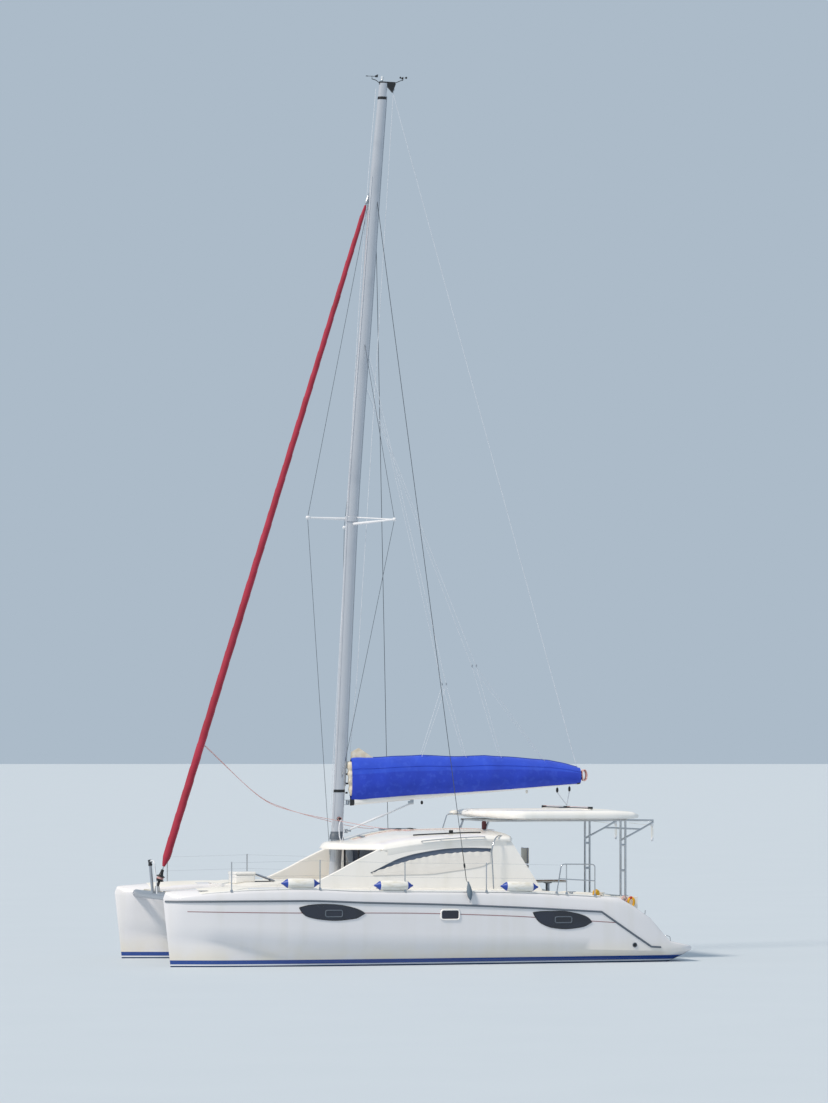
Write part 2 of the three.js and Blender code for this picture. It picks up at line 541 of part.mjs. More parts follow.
// Wind vane and cup anemometer at the masthead
function makeInstruments() {
  const z = POST_TOP + SEAT_GAP;
  const vane = join(
    tube([[VANE_X, 0, z], [VANE_X, 0, z + 50]], 9, 8),
    tube([[VANE_X + 140, 0, z + 40], [VANE_X - 140, 0, z + 40]], 5, 6),
    box([VANE_X - 130, VANE_X - 60], [-3, 3], [z + 10, z + 80]),
  );
  const cups = [0, 1, 2].map((i) => {
    const angle = (i + 0.25) * 2 * Math.PI / 3, reach = 75;
    const end = [CUPS_X + reach * Math.cos(angle), reach * Math.sin(angle), z + 30];
    const cup = closed(new THREE.SphereGeometry(24, 8, 6).translate(...end));
    return join(tube([[CUPS_X, 0, z + 30], end], 4, 6), cup);
  });
  piece('wind_vane', vane, FINISH.black);
  piece('anemometer', join(tube([[CUPS_X, 0, z], [CUPS_X, 0, z + 45]], 10, 8), ...cups), FINISH.black);
}

// Distance from the middle of an eight-sided tube to its flats, over its radius
const FLAT = Math.cos(Math.PI / 8);

// Hardtop over the cockpit, its legs, and the davit arms behind it
function hardtop() {
  const { front, aft, under, top, halfWidth } = HARDTOP;
  const rows = [
    [front, 0.25, 0.35, 0.6], [-1600, 0.43, 0.25, 0.75], [-1750, 0.62, 0.12, 0.88],
    [-1900, 0.79, 0.05, 0.95], [-2070, 0.945, 0, 1], [-2300, 1, 0, 1], [aft + 700, 1, 0, 1], [aft + 150, 0.97, 0.05, 0.85], [aft, 0.92, 0.15, 0.6],
  ];
  return loft(rows.map(([x, size, low, high]) => {
    const w = halfWidth * size, z = (t) => under + (top - under) * (low + (high - low) * t);
    const side = [[w - 160, 0], [w, 0.2], [w, 0.65], [w - 260, 0.95]];
    const outline = [...side, [0, 1.1], ...side.slice().reverse().map(([y, t]) => [-y, t])];
    return outline.map(([y, t]) => [x, y, z(t)]);
  }));
}

function hardtopFrame() {
  const { x, spacing, y, radius, foot } = POSTS, z = HARDTOP.under - radius * FLAT - SEAT_GAP;
  const aftX = x - spacing, frontX = -1800, frontY = 900, braceRadius = 20, barRadius = 22;
  const reach = 645, kneeX = aftX - 355, kneeZ = z - 200;
  const tubes = [];
  for (const side of [port, starboard]) {
    const sideY = side * y;
    tubes.push(tube([[x, sideY, foot - 40], [x, sideY, z]], radius));
    tubes.push(tube([[aftX, sideY, foot - 40], [aftX, sideY, z]], radius));
    tubes.push(tube([[frontX + 80, side * frontY, 2735], [frontX, side * frontY, z]], radius));
    tubes.push(tube([[frontX + 60, side * frontY, z], [aftX - 30, sideY, z]], radius));
    const brace = [[x - 20, sideY, 2560], [kneeX, sideY, kneeZ], [aftX - reach + 15, sideY, z - 40]];
    tubes.push(tube(brace, braceRadius));
    tubes.push(tube([[aftX - 20, sideY, z], [aftX - reach, sideY, z - 10]], barRadius));
  }
  for (const [barX, half, barZ] of [[frontX, frontY, z], [aftX, y, z], [kneeX, y, kneeZ]]) {
    tubes.push(tube([[barX, -half, barZ], [barX, half, barZ]], barRadius));
  }
  return join(...tubes);
}

function makeCockpitTop() {
  piece('hardtop', hardtop(), FINISH.gelcoat);
  const seats = [lifted(bridgedeck()), lifted(roofForm()), shifted(hardtop(), 0, 0, -SEAT_GAP)];
  piece('hardtop_frame', cut(hardtopFrame(), ...seats), FINISH.stainless);
  const track = box([-3860, -3900], [-1600, 1600], [HARDTOP.top - 40, HARDTOP.top + 45]);
  const car = box([-3820, -3940], [-60, 60], [HARDTOP.top, HARDTOP.top + 95]);
  piece('traveller', cut(join(track, car), lifted(hardtop())), FINISH.black);
}

const STAY_FOOT = CROSSBEAM.z + 190;

// Crossbeam, centre spar, nets, and the pulpit with a lamp on its starboard leg
function makeForedeck() {
  const { x, z, radius } = CROSSBEAM;
  const beam = tube([[x, -HULL_Y, z], [x, HULL_Y, z]], radius, 12);
  const chain = box([x + 60, x - 40], [-20, 20], [z, STAY_FOOT]);
  const insides = hullForms.map((form, i) => shifted(form, 0, i ? SEAT_GAP : -SEAT_GAP, 0));
  piece('crossbeam', cut(join(beam, chain), ...insides), FINISH.aluminium);
  const beamSeat = tube([[x, -400, z], [x, 400, z]], radius + SEAT_GAP, 12);
  const spar = tube([[x - radius - SEAT_GAP, 0, z], [BRIDGE.front - 200, 0, z + 40]], 60, 10);
  const deckSeat = shifted(bridgedeck(), SEAT_GAP, 0, 0);
  piece('centre_spar', cut(spar, deckSeat, beamSeat), FINISH.aluminium);
  for (const [name, side] of [['port', port], ['starboard', starboard]]) {
    const { front, z: netZ, thickness } = NET;
    const slab = box([front, BRIDGE.front + SEAT_GAP], [side * 61, side * 2100], [netZ, netZ + thickness]);
    piece(`net_${name}`, cut(slab, ...hullSeats), FINISH.net);
  }
  const half = 190, foot = z + 40, top = 2150, lampFoot = 2040;
  const leg = (y, height) => [x + 60 + 60 * (height - foot) / (top - foot), y, height];
  const hoop = tube([leg(half, foot), leg(half, top), leg(-half, top), leg(-half, foot)], 16, 8);
  const post = tube([leg(-half, foot), leg(-half, lampFoot)], 34, 10);
  const lamp = tube([leg(-half, lampFoot - 5), leg(-half, top + 25)], 42, 10);
  piece('pulpit', cut(join(hoop, post, lamp), beamSeat), FINISH.stainless);
  const chest = box([3670, 3230], [-300, 300], [1500, 1905]);
  piece('deck_chest', cut(chest, lifted(bridgedeck())), FINISH.gelcoat);
}

// A hatch with a dark pane, hinged at its aft edge and propped a little open
function makeHatch() {
  const { hinge, length, halfWidth, open, thickness } = HATCH;
  const knuckle = 8, deckZ = 1695.8, group = new THREE.Group();
  group.position.set(hinge, 0, deckZ + knuckle + SEAT_GAP);
  group.rotation.y = -open * Math.PI / 180;
  boat.add(group);
  const pin = tube([[0, -halfWidth + 40, 0], [0, halfWidth - 40, 0]], knuckle, 16);
  const lid = box([0, length], [-halfWidth, halfWidth], [0, thickness]);
  piece('foredeck_hatch', join(lid, pin), FINISH.glass, group);
}

// Toe rail, stanchions and stern rail of one side
const STANCHIONS = [4400, 2550, 710, -1080];
function guardrail(side) {
  const inset = 30, height = 620, r = 13, toeX = [5000, 4700, 3800, 2900, 1600, 0, -1800, -3620];
  const edge = (x) => [x, side * (HULL_Y + sheerHalf(x) - inset), sheerHeight(x) + 12];
  const toe = tube(toeX.map(edge), 16, 6);
  const posts = STANCHIONS.map((x) => tube([edge(x), [x, edge(x)[1], edge(x)[2] + height]], r, 8));
  const [front, aft] = [-2560, -3500];
  const sternRail = tube([edge(front), [front - 110, edge(front)[1], edge(front)[2] + height],
    [aft, edge(aft)[1], edge(front)[2] + height - 10], edge(aft)], r, 8);
  return cut(join(toe, sternRail, ...posts), ...hullSeats);
}

function makeRails() {
  for (const [name, side] of [['port', port], ['starboard', starboard]]) {
    piece(`guardrail_${name}`, guardrail(side), FINISH.stainless);
  }
}

// Saildrive, engine and its lid, propeller and rudder of one hull
function makeDrive(name, side) {
  const y = side * HULL_Y, low = shifted(hullForms[side > 0 ? 0 : 1], 0, 0, -SEAT_GAP);
  const { front, aft, halfWidth, floor, lip, lid } = ENGINE_BAY;
  const engine = box([front - 60, front - 660], [y - 230, y + 230], [floor + SEAT_GAP, floor + 560]);
  piece(`engine_${name}`, engine, FINISH.iron);
  const { x, z, bulb: bulbRadius, tail } = DRIVE;
  const strut = upright(foil(x + 110, x - 150, 38, y), z, -200);
  const bulbRows = [[x + 170, 12], [x + 90, bulbRadius], [tail, PROPELLER.hub - 2]];
  const bulb = tube(bulbRows.map(([rowX, r]) => [rowX, y, z, r]), bulbRadius, 12);
  piece(`saildrive_${name}`, cut(join(strut, bulb), low), FINISH.aluminium);
  piece(`propeller_${name}`, propeller(y), FINISH.bronze);
  piece(`rudder_${name}`, rudder(y), FINISH.antifouling);
  const form = hullForms[side > 0 ? 0 : 1];
  const patch = box([front + lip, aft - lip], [y - halfWidth - lip, y + halfWidth + lip], [1000, 2000]);
  piece(`engine_lid_${name}`, cut(meet(shifted(form, 0, 0, lid), patch), lifted(form)), FINISH.deck);
}

function propeller(y) {
  const { radius, hub, length } = PROPELLER, x = DRIVE.tail - 0.5, z = DRIVE.z;
  const boss = tube([[x, y, z, hub], [x - length * 0.7, y, z, hub * 0.9], [x - length, y, z, 14]], hub, 12);
  // Blade sections: distance from the shaft, half chord and half thickness
  const sections = [[20, 30, 9], [90, 52, 7], [radius - 35, 58, 5], [radius, 22, 3]];
  const blades = [0, 1, 2].map((i) => {
    const blade = loft(sections.map(([r, chord, thick]) => {
      const pitch = Math.atan2(70, r), c = Math.cos(pitch), s = Math.sin(pitch);
      const diamond = [[chord, 0], [0, thick], [-chord, 0], [0, -thick]];
      return diamond.map(([u, v]) => [u * s - v * c, u * c + v * s, r]);
    }));
    return blade.rotateX(i * 2 * Math.PI / 3).translate(x - length * 0.42, y, z);
  });
  return join(boss, ...blades.map(closed));
}

function rudder(y) {
  const { stockX, stockRadius, stockTop, tip } = RUDDER;
  const top = (x) => THREE.MathUtils.mapLinear(x, -4420, -4960, -275, -150);
  const levels = [[null, -4420, -4960, 42], [-600, -4430, -4940, 36], [tip, -4470, -4880, 22]];
  const blade = loft(levels.map(([z, nose, tail, half]) =>
    foil(nose, tail, half, y).map(([x, v]) => [x, v, z ?? top(x)])));
  return join(blade, tube([[stockX, y, -330], [stockX, y, stockTop]], stockRadius, 16));
}

// Lugs on the stern platform at both ends of the ladder's hinge tube
function ladderLugs(y) {
  const { pivotX, pivotZ, half, radius } = LADDER, near = half + radius + 2 + SEAT_GAP;
  const lugX = [pivotX - 9, pivotX + 50], lugZ = [pivotZ - 60, pivotZ + 9], lugWidth = 14;
  return [-1, 1].map((end) => box(lugX, [y + end * near, y + end * (near + lugWidth)], lugZ));
}

// Boarding ladder folded forward on the stern platform
function makeLadder() {
  const { side, pivotX, pivotZ, half, reach, radius, slope } = LADDER, group = new THREE.Group();
  group.position.set(pivotX, side * HULL_Y, pivotZ);
  group.rotation.y = -slope * Math.PI / 180;
  boat.add(group);
  const hoop = tube([[0, -half, 0], [reach, -half, 0], [reach, half, 0], [0, half, 0]], radius, 8);
  const rungs = [170, 340].map((x) => tube([[x, -half, 0], [x, half, 0]], radius, 8));
  const hinge = tube([[0, -half - radius - 2, 0], [0, half + radius + 2, 0]], radius, 12);
  piece('boarding_ladder', join(hoop, hinge, ...rungs), FINISH.stainless, group);
}

// Sliding saloon door, stored open to port
function makeDoor() {
  const { y0, y1, open, bottom, top, thickness } = DOOR, x = SALOON.aft - RUN_GAP;
  const pane = box([x, x - thickness], [y0 + open, y1 + open], [bottom - 0.5, top + 0.5]);
  piece('saloon_door', pane, FINISH.glass);
}

makeHulls();
makeDeckhouse();
makeSaloonInside();
makeDoor();
makeCockpit();
makeHelm();
makeCockpitTop();
makeForedeck();
makeHatch();
makeRails();
makeRig();
makeBoomBody();
makeInstruments();
makeDrive('port', port);
makeDrive('starboard', starboard);
makeLadder();

export default boat;
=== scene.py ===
import math

import bmesh
import bpy
from mathutils import Matrix, Vector, noise


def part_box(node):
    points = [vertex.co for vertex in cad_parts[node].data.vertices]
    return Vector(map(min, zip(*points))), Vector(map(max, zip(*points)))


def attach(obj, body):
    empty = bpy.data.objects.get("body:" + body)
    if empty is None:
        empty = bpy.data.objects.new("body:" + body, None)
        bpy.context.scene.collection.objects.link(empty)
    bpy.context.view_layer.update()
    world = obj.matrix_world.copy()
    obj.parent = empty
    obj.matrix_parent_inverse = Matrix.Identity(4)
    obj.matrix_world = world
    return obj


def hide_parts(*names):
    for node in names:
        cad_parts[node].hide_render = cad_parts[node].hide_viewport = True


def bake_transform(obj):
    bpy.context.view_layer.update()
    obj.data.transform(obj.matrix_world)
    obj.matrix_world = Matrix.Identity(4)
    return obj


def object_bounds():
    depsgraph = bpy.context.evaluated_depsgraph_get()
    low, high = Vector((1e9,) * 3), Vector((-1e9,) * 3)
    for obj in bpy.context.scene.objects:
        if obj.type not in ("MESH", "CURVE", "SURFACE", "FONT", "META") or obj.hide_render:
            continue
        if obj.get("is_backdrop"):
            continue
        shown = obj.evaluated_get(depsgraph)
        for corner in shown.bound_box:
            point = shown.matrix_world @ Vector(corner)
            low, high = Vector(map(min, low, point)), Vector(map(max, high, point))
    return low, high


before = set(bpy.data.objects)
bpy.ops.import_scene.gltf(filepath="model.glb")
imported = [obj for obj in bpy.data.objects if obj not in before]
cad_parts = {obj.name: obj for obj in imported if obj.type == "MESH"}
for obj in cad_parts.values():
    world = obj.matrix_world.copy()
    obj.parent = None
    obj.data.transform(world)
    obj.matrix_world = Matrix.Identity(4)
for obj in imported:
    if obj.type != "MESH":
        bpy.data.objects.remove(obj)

cad_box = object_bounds()

# Camera: a long lens off the port side, a little ahead of square to the boat and tilted up
# slightly, so that the eye's own level crosses the picture behind the boom.
EYE = Vector((29.095, 95.765, 4.478))
SIGHT = Vector((-0.2940, -0.9548, 0.0430))
lens = bpy.data.cameras.new("camera")
lens.sensor_fit = "VERTICAL"
lens.sensor_height = 36
lens.lens = 151.27
lens.clip_end = 4000
camera = bpy.data.objects.new("camera", lens)
camera.location = EYE
camera.rotation_euler = SIGHT.to_track_quat("-Z", "Y").to_euler()
bpy.context.scene.collection.objects.link(camera)
bpy.context.scene.camera = camera
bpy.context.scene.view_settings.view_transform = "Standard"


# Studio: a plain pale floor in the plane of the waterline, out to the horizon, a soft sun-like
# lamp from above the port bow, and an even pale blue-grey surround.
def tone(code, alpha=1.0):
    """A colour for a shader from its code in red, green and blue hex pairs."""
    parts = [int(code[i:i + 2], 16) / 255 for i in (0, 2, 4)]
    return (*(c / 12.92 if c <= 0.04045 else ((c + 0.055) / 1.055) ** 2.4 for c in parts), alpha)


class Strand:
    """One value inside a shader; sums and products of strands add their own Math nodes."""

    def __init__(self, paint, socket):
        self.paint, self.socket = paint, socket

    def math(self, operation, *values):
        return self.paint.node("ShaderNodeMath", {"operation": operation}, *values)

    def __add__(self, other):
        return self.math("ADD", self, other)

    def __mul__(self, other):
        return self.math("MULTIPLY", self, other)

    def __sub__(self, other):
        return self.math("SUBTRACT", self, other)

    def __rsub__(self, other):
        return self.math("SUBTRACT", other, self)

    def __truediv__(self, other):
        return self.math("DIVIDE", self, other)

    __radd__ = __add__
    __rmul__ = __mul__

    def above(self, edge, soft=0.001):
        """One where the value is over the edge and zero where it is under."""
        settings = {"interpolation_type": "SMOOTHSTEP"}
        return self.paint.node("ShaderNodeMapRange", settings, self, edge - soft, edge + soft)


class Paint:
    """A finish whose nodes are added one call at a time."""

    def __init__(self, name, colour, roughness=0.5, metallic=0.0, **fixed):
        self.material = bpy.data.materials.new(name)
        self.material.use_nodes = True
        self.tree = self.material.node_tree
        self.shader = self.tree.nodes["Principled BSDF"]
        self.colour = colour
        self.put("Base Color", colour)
        self.put("Roughness", roughness)
        self.put("Metallic", metallic)
        for socket, value in fixed.items():
            self.put(socket.replace("_", " "), value)

    def put(self, socket, value):
        self.join(self.shader.inputs[socket], value)

    def join(self, socket, value):
        if isinstance(value, Strand):
            self.tree.links.new(value.socket, socket)
        elif value is not None:
            socket.default_value = value

    def node(self, kind, settings=None, *values, out=0, **named):
        made = self.tree.nodes.new(kind)
        for name, value in (settings or {}).items():
            setattr(made, name, value)
        for place, value in [*enumerate(values), *named.items()]:
            self.join(made.inputs[place], value)
        return Strand(self, made.outputs[out])

    def place(self):
        return self.node("ShaderNodeTexCoord", out="Object")

    def axis(self, name):
        return self.node("ShaderNodeSeparateXYZ", None, self.place(), out=name)

    def stretched(self, x, y, z):
        scaled = {"operation": "MULTIPLY"}
        return self.node("ShaderNodeVectorMath", scaled, self.place(), (x, y, z))

    def noise(self, scale, detail=2.0, where=None):
        where = where or self.place()
        return self.node("ShaderNodeTexNoise", None, Vector=where, Scale=scale, Detail=detail)

    def mixed(self, mask, first, second):
        mix = self.tree.nodes.new("ShaderNodeMix")
        mix.data_type = "RGBA"
        for place, value in ((0, mask), (6, first), (7, second)):
            self.join(mix.inputs[place], value)
        return Strand(self, mix.outputs[2])

    def tinted(self, mask, other):
        """Lays another colour over the ones so far, where the mask is one."""
        self.colour = self.mixed(mask, self.colour, other)
        self.put("Base Color", self.colour)

    def bump(self, height, distance, strength=1.0):
        relief = self.node("ShaderNodeBump", Height=height, Distance=distance, Strength=strength)
        self.put("Normal", relief)


studio = bpy.data.worlds.new("studio")
studio.use_nodes = True
studio.node_tree.nodes["Background"].inputs["Color"].default_value = tone("b9c9d8")
studio.node_tree.nodes["Background"].inputs["Strength"].default_value = 0.85
bpy.context.scene.world = studio

lamp = bpy.data.lights.new("sun", "SUN")
lamp.energy = 3.0
lamp.angle = math.radians(9)
lamp.color = tone("fff3e4")[:3]
sun = bpy.data.objects.new("sun", lamp)
sun.rotation_euler = Vector((-0.60, -0.24, -0.76)).to_track_quat("-Z", "Y").to_euler()
bpy.context.scene.collection.objects.link(sun)

FLOOR_RADIUS = 1500
floor_paint = Paint("pale_floor", tone("c3ccd4"), 0.6)
floor_paint.tinted(floor_paint.noise(0.35) * 0.25, tone("d2dae0"))
bm = bmesh.new()
bmesh.ops.create_circle(bm, cap_ends=True, radius=FLOOR_RADIUS, segments=128)
floor_mesh = bpy.data.meshes.new("floor")
bm.to_mesh(floor_mesh)
bm.free()
floor_mesh.materials.append(floor_paint.material)
floor = bpy.data.objects.new("floor", floor_mesh)
bpy.context.scene.collection.objects.link(floor)
floor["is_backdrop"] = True


# Hulls: glass-fibre shells laid up in two moulds and faired to a knuckle at the rubbing rail. A
# chine flares each side out above a narrow waterline. The sterns step down to bathing platforms.
# Columns: x, rake, keel height, then half breadth and height of bilge, waterline (half breadth
# alone), foot of the chine, chine, rubbing rail and gunwale, and the height of the deck's crown.
STEM_TOP = 1.524
STATIONS = [
    (5.725, 0.17, -0.09, 0.006, -0.04, 0.008, 0.01, 0.64, 0.012, 0.676, 0.016, 1.36, 0.016, 1.4, 1.425),
    (5.65, 0.165, -0.14, 0.014, -0.08, 0.03, 0.045, 0.63, 0.052, 0.673, 0.09, 1.36, 0.088, 1.412, 1.555),
    (5.35, 0.13, -0.33, 0.06, -0.2, 0.11, 0.15, 0.59, 0.175, 0.655, 0.3, 1.362, 0.29, 1.46, 1.59),
    (4.7, 0.06, -0.4, 0.18, -0.25, 0.29, 0.365, 0.545, 0.43, 0.612, 0.56, 1.366, 0.535, 1.54, 1.645),
    (3.8, 0.02, -0.44, 0.31, -0.27, 0.425, 0.485, 0.35, 0.65, 0.56, 0.74, 1.369, 0.705, 1.595, 1.668),
    (2.9, 0.0, -0.465, 0.42, -0.28, 0.52, 0.56, 0.165, 0.78, 0.505, 0.82, 1.369, 0.78, 1.607, 1.65),
    (1.6, 0.0, -0.49, 0.5, -0.29, 0.585, 0.615, 0.125, 0.83, 0.425, 0.85, 1.322, 0.812, 1.55, 1.6),
    (0.0, 0.0, -0.5, 0.53, -0.29, 0.615, 0.64, 0.12, 0.845, 0.365, 0.85, 1.27, 0.812, 1.53, 1.585),
    (-1.8, 0.0, -0.47, 0.53, -0.27, 0.62, 0.645, 0.118, 0.845, 0.33, 0.85, 1.188, 0.812, 1.498, 1.55),
    (-3.62, 0.0, -0.34, 0.5, -0.19, 0.61, 0.64, 0.115, 0.838, 0.28, 0.846, 1.08, 0.79, 1.395, 1.44),
    (-4.04, 0.0, -0.29, 0.49, -0.16, 0.6, 0.635, 0.112, 0.83, 0.265, 0.838, 0.797, 0.83, 1.365, 1.39),
    (-4.365, 0.0, -0.235, 0.475, -0.13, 0.59, 0.625, 0.112, 0.82, 0.255, 0.83, 0.579, 0.83, 1.19, 1.21),
    (-4.75, 0.0, -0.16, 0.45, -0.085, 0.57, 0.61, 0.112, 0.808, 0.246, 0.812, 0.33, 0.816, 0.93, 0.945),
    (-5.19, 0.0, -0.06, 0.41, -0.02, 0.53, 0.59, 0.11, 0.775, 0.235, 0.785, 0.3, 0.78, 0.447, 0.45),
    (-5.6, 0.0, 0.12, 0.34, 0.135, 0.4, 0.49, 0.15, 0.7, 0.228, 0.725, 0.258, 0.705, 0.358, 0.359),
    (-5.725, 0.0, 0.226, 0.28, 0.228, 0.38, 0.45, 0.23, 0.58, 0.232, 0.615, 0.25, 0.61, 0.33, 0.331),
]
KNUCKLE = 9
HULL_Y = 2.16
SIDES = (("port", 1), ("starboard", -1))


def fair(rows, x):
    """Reads rows of falling x along one smooth line for each column after it."""
    x = min(max(x, rows[-1][0]), rows[0][0])
    i = next(k for k in range(1, len(rows)) if x >= rows[k][0])
    h = rows[i][0] - rows[i - 1][0]
    t = (x - rows[i - 1][0]) / h

    def climb(k, column):
        return (rows[k + 1][column] - rows[k][column]) / (rows[k + 1][0] - rows[k][0])

    def slope(k, column):
        before, after = climb(max(k - 1, 0), column), climb(min(k, len(rows) - 2), column)
        return 2 * before * after / (before + after) if before * after > 0 else 0.0

    def value(column):
        a, b = rows[i - 1][column], rows[i][column]
        bend = h * (t * (1 - t) ** 2 * slope(i - 1, column) - t * t * (1 - t) * slope(i, column))
        return a + (b - a) * t * t * (3 - 2 * t) + bend

    return [value(column) for column in range(1, len(rows[0]))]


def straight(rows, x):
    """Reads rows of falling x along straight lines."""
    x = min(max(x, rows[-1][0]), rows[0][0])
    i = next(k for k in range(1, len(rows)) if x >= rows[k][0])
    t = (x - rows[i - 1][0]) / (rows[i][0] - rows[i - 1][0])
    return [a + (b - a) * t for a, b in zip(rows[i - 1][1:], rows[i][1:])]


def station(x):
    return fair(STATIONS[:KNUCKLE + 1], x) if x >= STATIONS[KNUCKLE][0] else straight(STATIONS[KNUCKLE:], x)


def spline(points, steps):
    """A smooth line through all points but the first and last, which only guide it."""
    line = []
    for a, b, c, d in zip(points, points[1:], points[2:], points[3:]):
        for t in (step / steps for step in range(steps)):
            cubic = (b * 3 - a - c * 3 + d) * t ** 3
            line.append((b * 2 + (c - a) * t + (a * 2 - b * 5 + c * 4 - d) * t * t + cubic) * 0.5)
    return [*line, points[-2]]


def corner(a, b, c, steps):
    """A round corner from a to c whose sides would meet at b."""
    ways = [step / steps for step in range(steps + 1)]
    return [a * (1 - t) ** 2 + b * 2 * t * (1 - t) + c * t * t for t in ways]


GUNWALE = 0.07


def hull_half(x):
    """Half a section from the keel to the middle of the deck: half breadth and height."""
    (_, keel, bilge_y, bilge_z, water, foot_y, foot_z,
     chine_y, chine_z, rail_y, rail_z, sheer_y, sheer_z, crown) = station(x)
    low, bilge = Vector((0, keel)), Vector((bilge_y, bilge_z))
    afloat, foot = Vector((water, max(0.0, bilge_z + 0.001))), Vector((foot_y, foot_z))
    chine, rail, sheer = Vector((chine_y, chine_z)), Vector((rail_y, rail_z)), Vector((sheer_y, sheer_z))
    line = spline([Vector((-bilge_y, bilge_z)), low, bilge, afloat, foot, foot * 2 - afloat], 4)
    line += [chine, *(chine.lerp(rail, k / 3) for k in (1, 2, 3))]
    edge = min(GUNWALE, 0.4 * sheer_y)

    def deck(y):
        return Vector((y, sheer_z + (crown - sheer_z) * (1 - (y / sheer_y) ** 2)))

    line += corner(sheer.lerp(rail, 0.3), sheer, deck(sheer_y - edge), 4)
    return line + [deck((sheer_y - edge) * k) for k in (0.66, 0.33, 0)]


def raked(x, y, z):
    """Leans the upright sections forward near the stem."""
    return Vector((x + station(x)[0] * (z - STEM_TOP) / STEM_TOP, y, z))


def sheath(rings, closed=True, ends=True):
    """A skin of quads over rings of points, with its ends closed."""
    around = len(rings[0]) - (0 if closed else 1)
    bm = bmesh.new()
    bmesh.ops.create_grid(bm, x_segments=around, y_segments=len(rings) - 1, size=0.5)
    for vert in bm.verts:
        i = round((vert.co.x + 0.5) * around) % len(rings[0])
        vert.co = rings[round((vert.co.y + 0.5) * (len(rings) - 1))][i]
    bmesh.ops.remove_doubles(bm, verts=bm.verts, dist=1e-6)
    if ends:
        bmesh.ops.holes_fill(bm, edges=bm.edges, sides=0)
    bmesh.ops.recalc_face_normals(bm, faces=bm.faces)
    return bm


def fit(bm, name, body, paint, replaces=(), sharp=32):
    """Makes a finished piece from a bmesh and fixes it to its body; a blended one has none."""
    mesh = bpy.data.meshes.new(name)
    bm.to_mesh(mesh)
    bm.free()
    mesh.shade_smooth()
    mesh.set_sharp_from_angle(angle=math.radians(sharp))
    piece = bpy.data.objects.new(name, mesh)
    bpy.context.scene.collection.objects.link(piece)
    piece.data.materials.append(paint.material)
    if body:
        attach(piece, body)
    if replaces:
        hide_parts(*replaces)
    return piece


def block(low, high, round_by=0.0, segments=2):
    """A box with rounded edges, as a bmesh."""
    bm = bmesh.new()
    bmesh.ops.create_cube(bm, size=1)
    for vert in bm.verts:
        vert.co = [a + (b - a) * (c + 0.5) for a, b, c in zip(low, high, vert.co)]
    if round_by:
        bmesh.ops.bevel(bm, geom=bm.edges[:], offset=round_by, segments=segments, profile=0.5,
                        affect="EDGES", material=-1)
    return bm


def carve(piece, cutters):
    """Cuts bmesh cutters out of a piece."""
    for number, bm in enumerate(cutters):
        mesh = bpy.data.meshes.new(f"cutter_{number}")
        bm.to_mesh(mesh)
        bm.free()
        cutter = bpy.data.objects.new(mesh.name, mesh)
        bpy.context.scene.collection.objects.link(cutter)
        tool = piece.modifiers.new("cut", "BOOLEAN")
        tool.object, tool.solver = cutter, "EXACT"
        shaped = piece.evaluated_get(bpy.context.evaluated_depsgraph_get())
        cut_mesh = bpy.data.meshes.new_from_object(shaped)
        piece.modifiers.clear()
        old, piece.data = piece.data, cut_mesh
        bpy.data.meshes.remove(old)
        bpy.data.objects.remove(cutter)
        bpy.data.meshes.remove(mesh)
    piece.data.name = piece.name


BOOT_TOP = (0.055, 0.14)
WATERLINE_STRIPE = (0.028, 0.055)
gelcoat = Paint("gelcoat", tone("f2f0ec"), 0.24, Coat_Weight=0.4, Coat_Roughness=0.08)
grime = gelcoat.noise(3.0, 4.0, gelcoat.stretched(1.0, 1.0, 0.12))
gelcoat.tinted(grime.above(0.62, 0.16) * 0.35, tone("dcd8cc"))
gelcoat.put("Roughness", grime * 0.12 + 0.18)

# The topsides' base white is painted a little greyer and bluer than the deck's gelcoat, as painted shade on
# sides that face away from the light.
topsides = Paint("topsides", tone("e4e3e6"), 0.2, Coat_Weight=0.5, Coat_Roughness=0.06)
height = topsides.axis("Z")
streaks = topsides.noise(2.2, 4.0, topsides.stretched(1.6, 1.0, 0.1))
topsides.tinted(streaks.above(0.6, 0.15) * 0.3, tone("d9d7d2"))
scum = (1 - height.above(0.34, 0.26)) * topsides.noise(1.3, 3.0).above(0.42, 0.2)
topsides.tinted(scum * 0.5, tone("e4d9bd"))
topsides.tinted(1 - height.above(BOOT_TOP[1]), tone("123f8f"))
topsides.tinted(1 - height.above(WATERLINE_STRIPE[1]), tone("e9edf2"))
below = 1 - height.above(WATERLINE_STRIPE[0])
topsides.tinted(below, topsides.mixed(topsides.noise(7.0, 5.0), tone("16294f"), tone("24406e")))
topsides.put("Roughness", below * 0.5 + streaks * 0.1 + 0.14)
topsides.put("Coat Weight", (1 - below) * 0.5)

nonskid = Paint("nonskid", tone("e6e4de"), 0.62)
grain = nonskid.node("ShaderNodeTexVoronoi", None, Vector=nonskid.place(), Scale=140.0)
nonskid.tinted(nonskid.noise(1.7, 4.0).above(0.55, 0.2) * 0.35, tone("d3cfc4"))
nonskid.bump(grain, 0.0012)

# Front, aft end and height of each stern step, cut into the deck between two low bulwarks
TREADS = [(-4.06, -4.38, 1.08), (-4.38, -4.69, 0.80), (-4.69, -5.00, 0.54), (-5.00, -5.20, 0.40)]
STEP_HALF = 0.60
ENGINE_BAY = {"front": -3.15, "aft": -3.95, "half": 0.33, "floor": 0.06}
NONSKID_HALF = 0.5


def hull_rings():
    ends = [row[0] for row in STATIONS]
    steps = [12, *[8] * (KNUCKLE - 1), *[2] * (len(ends) - 1 - KNUCKLE)]
    places = [a + (b - a) * k / n for a, b, n in zip(ends, ends[1:], steps) for k in range(n)]
    for x in [*places, ends[-1]]:
        half = hull_half(x)
        other = [Vector((-y, z)) for y, z in reversed(half[1:-1])]
        yield [raked(x, y, z) for y, z in [*half, *other]]


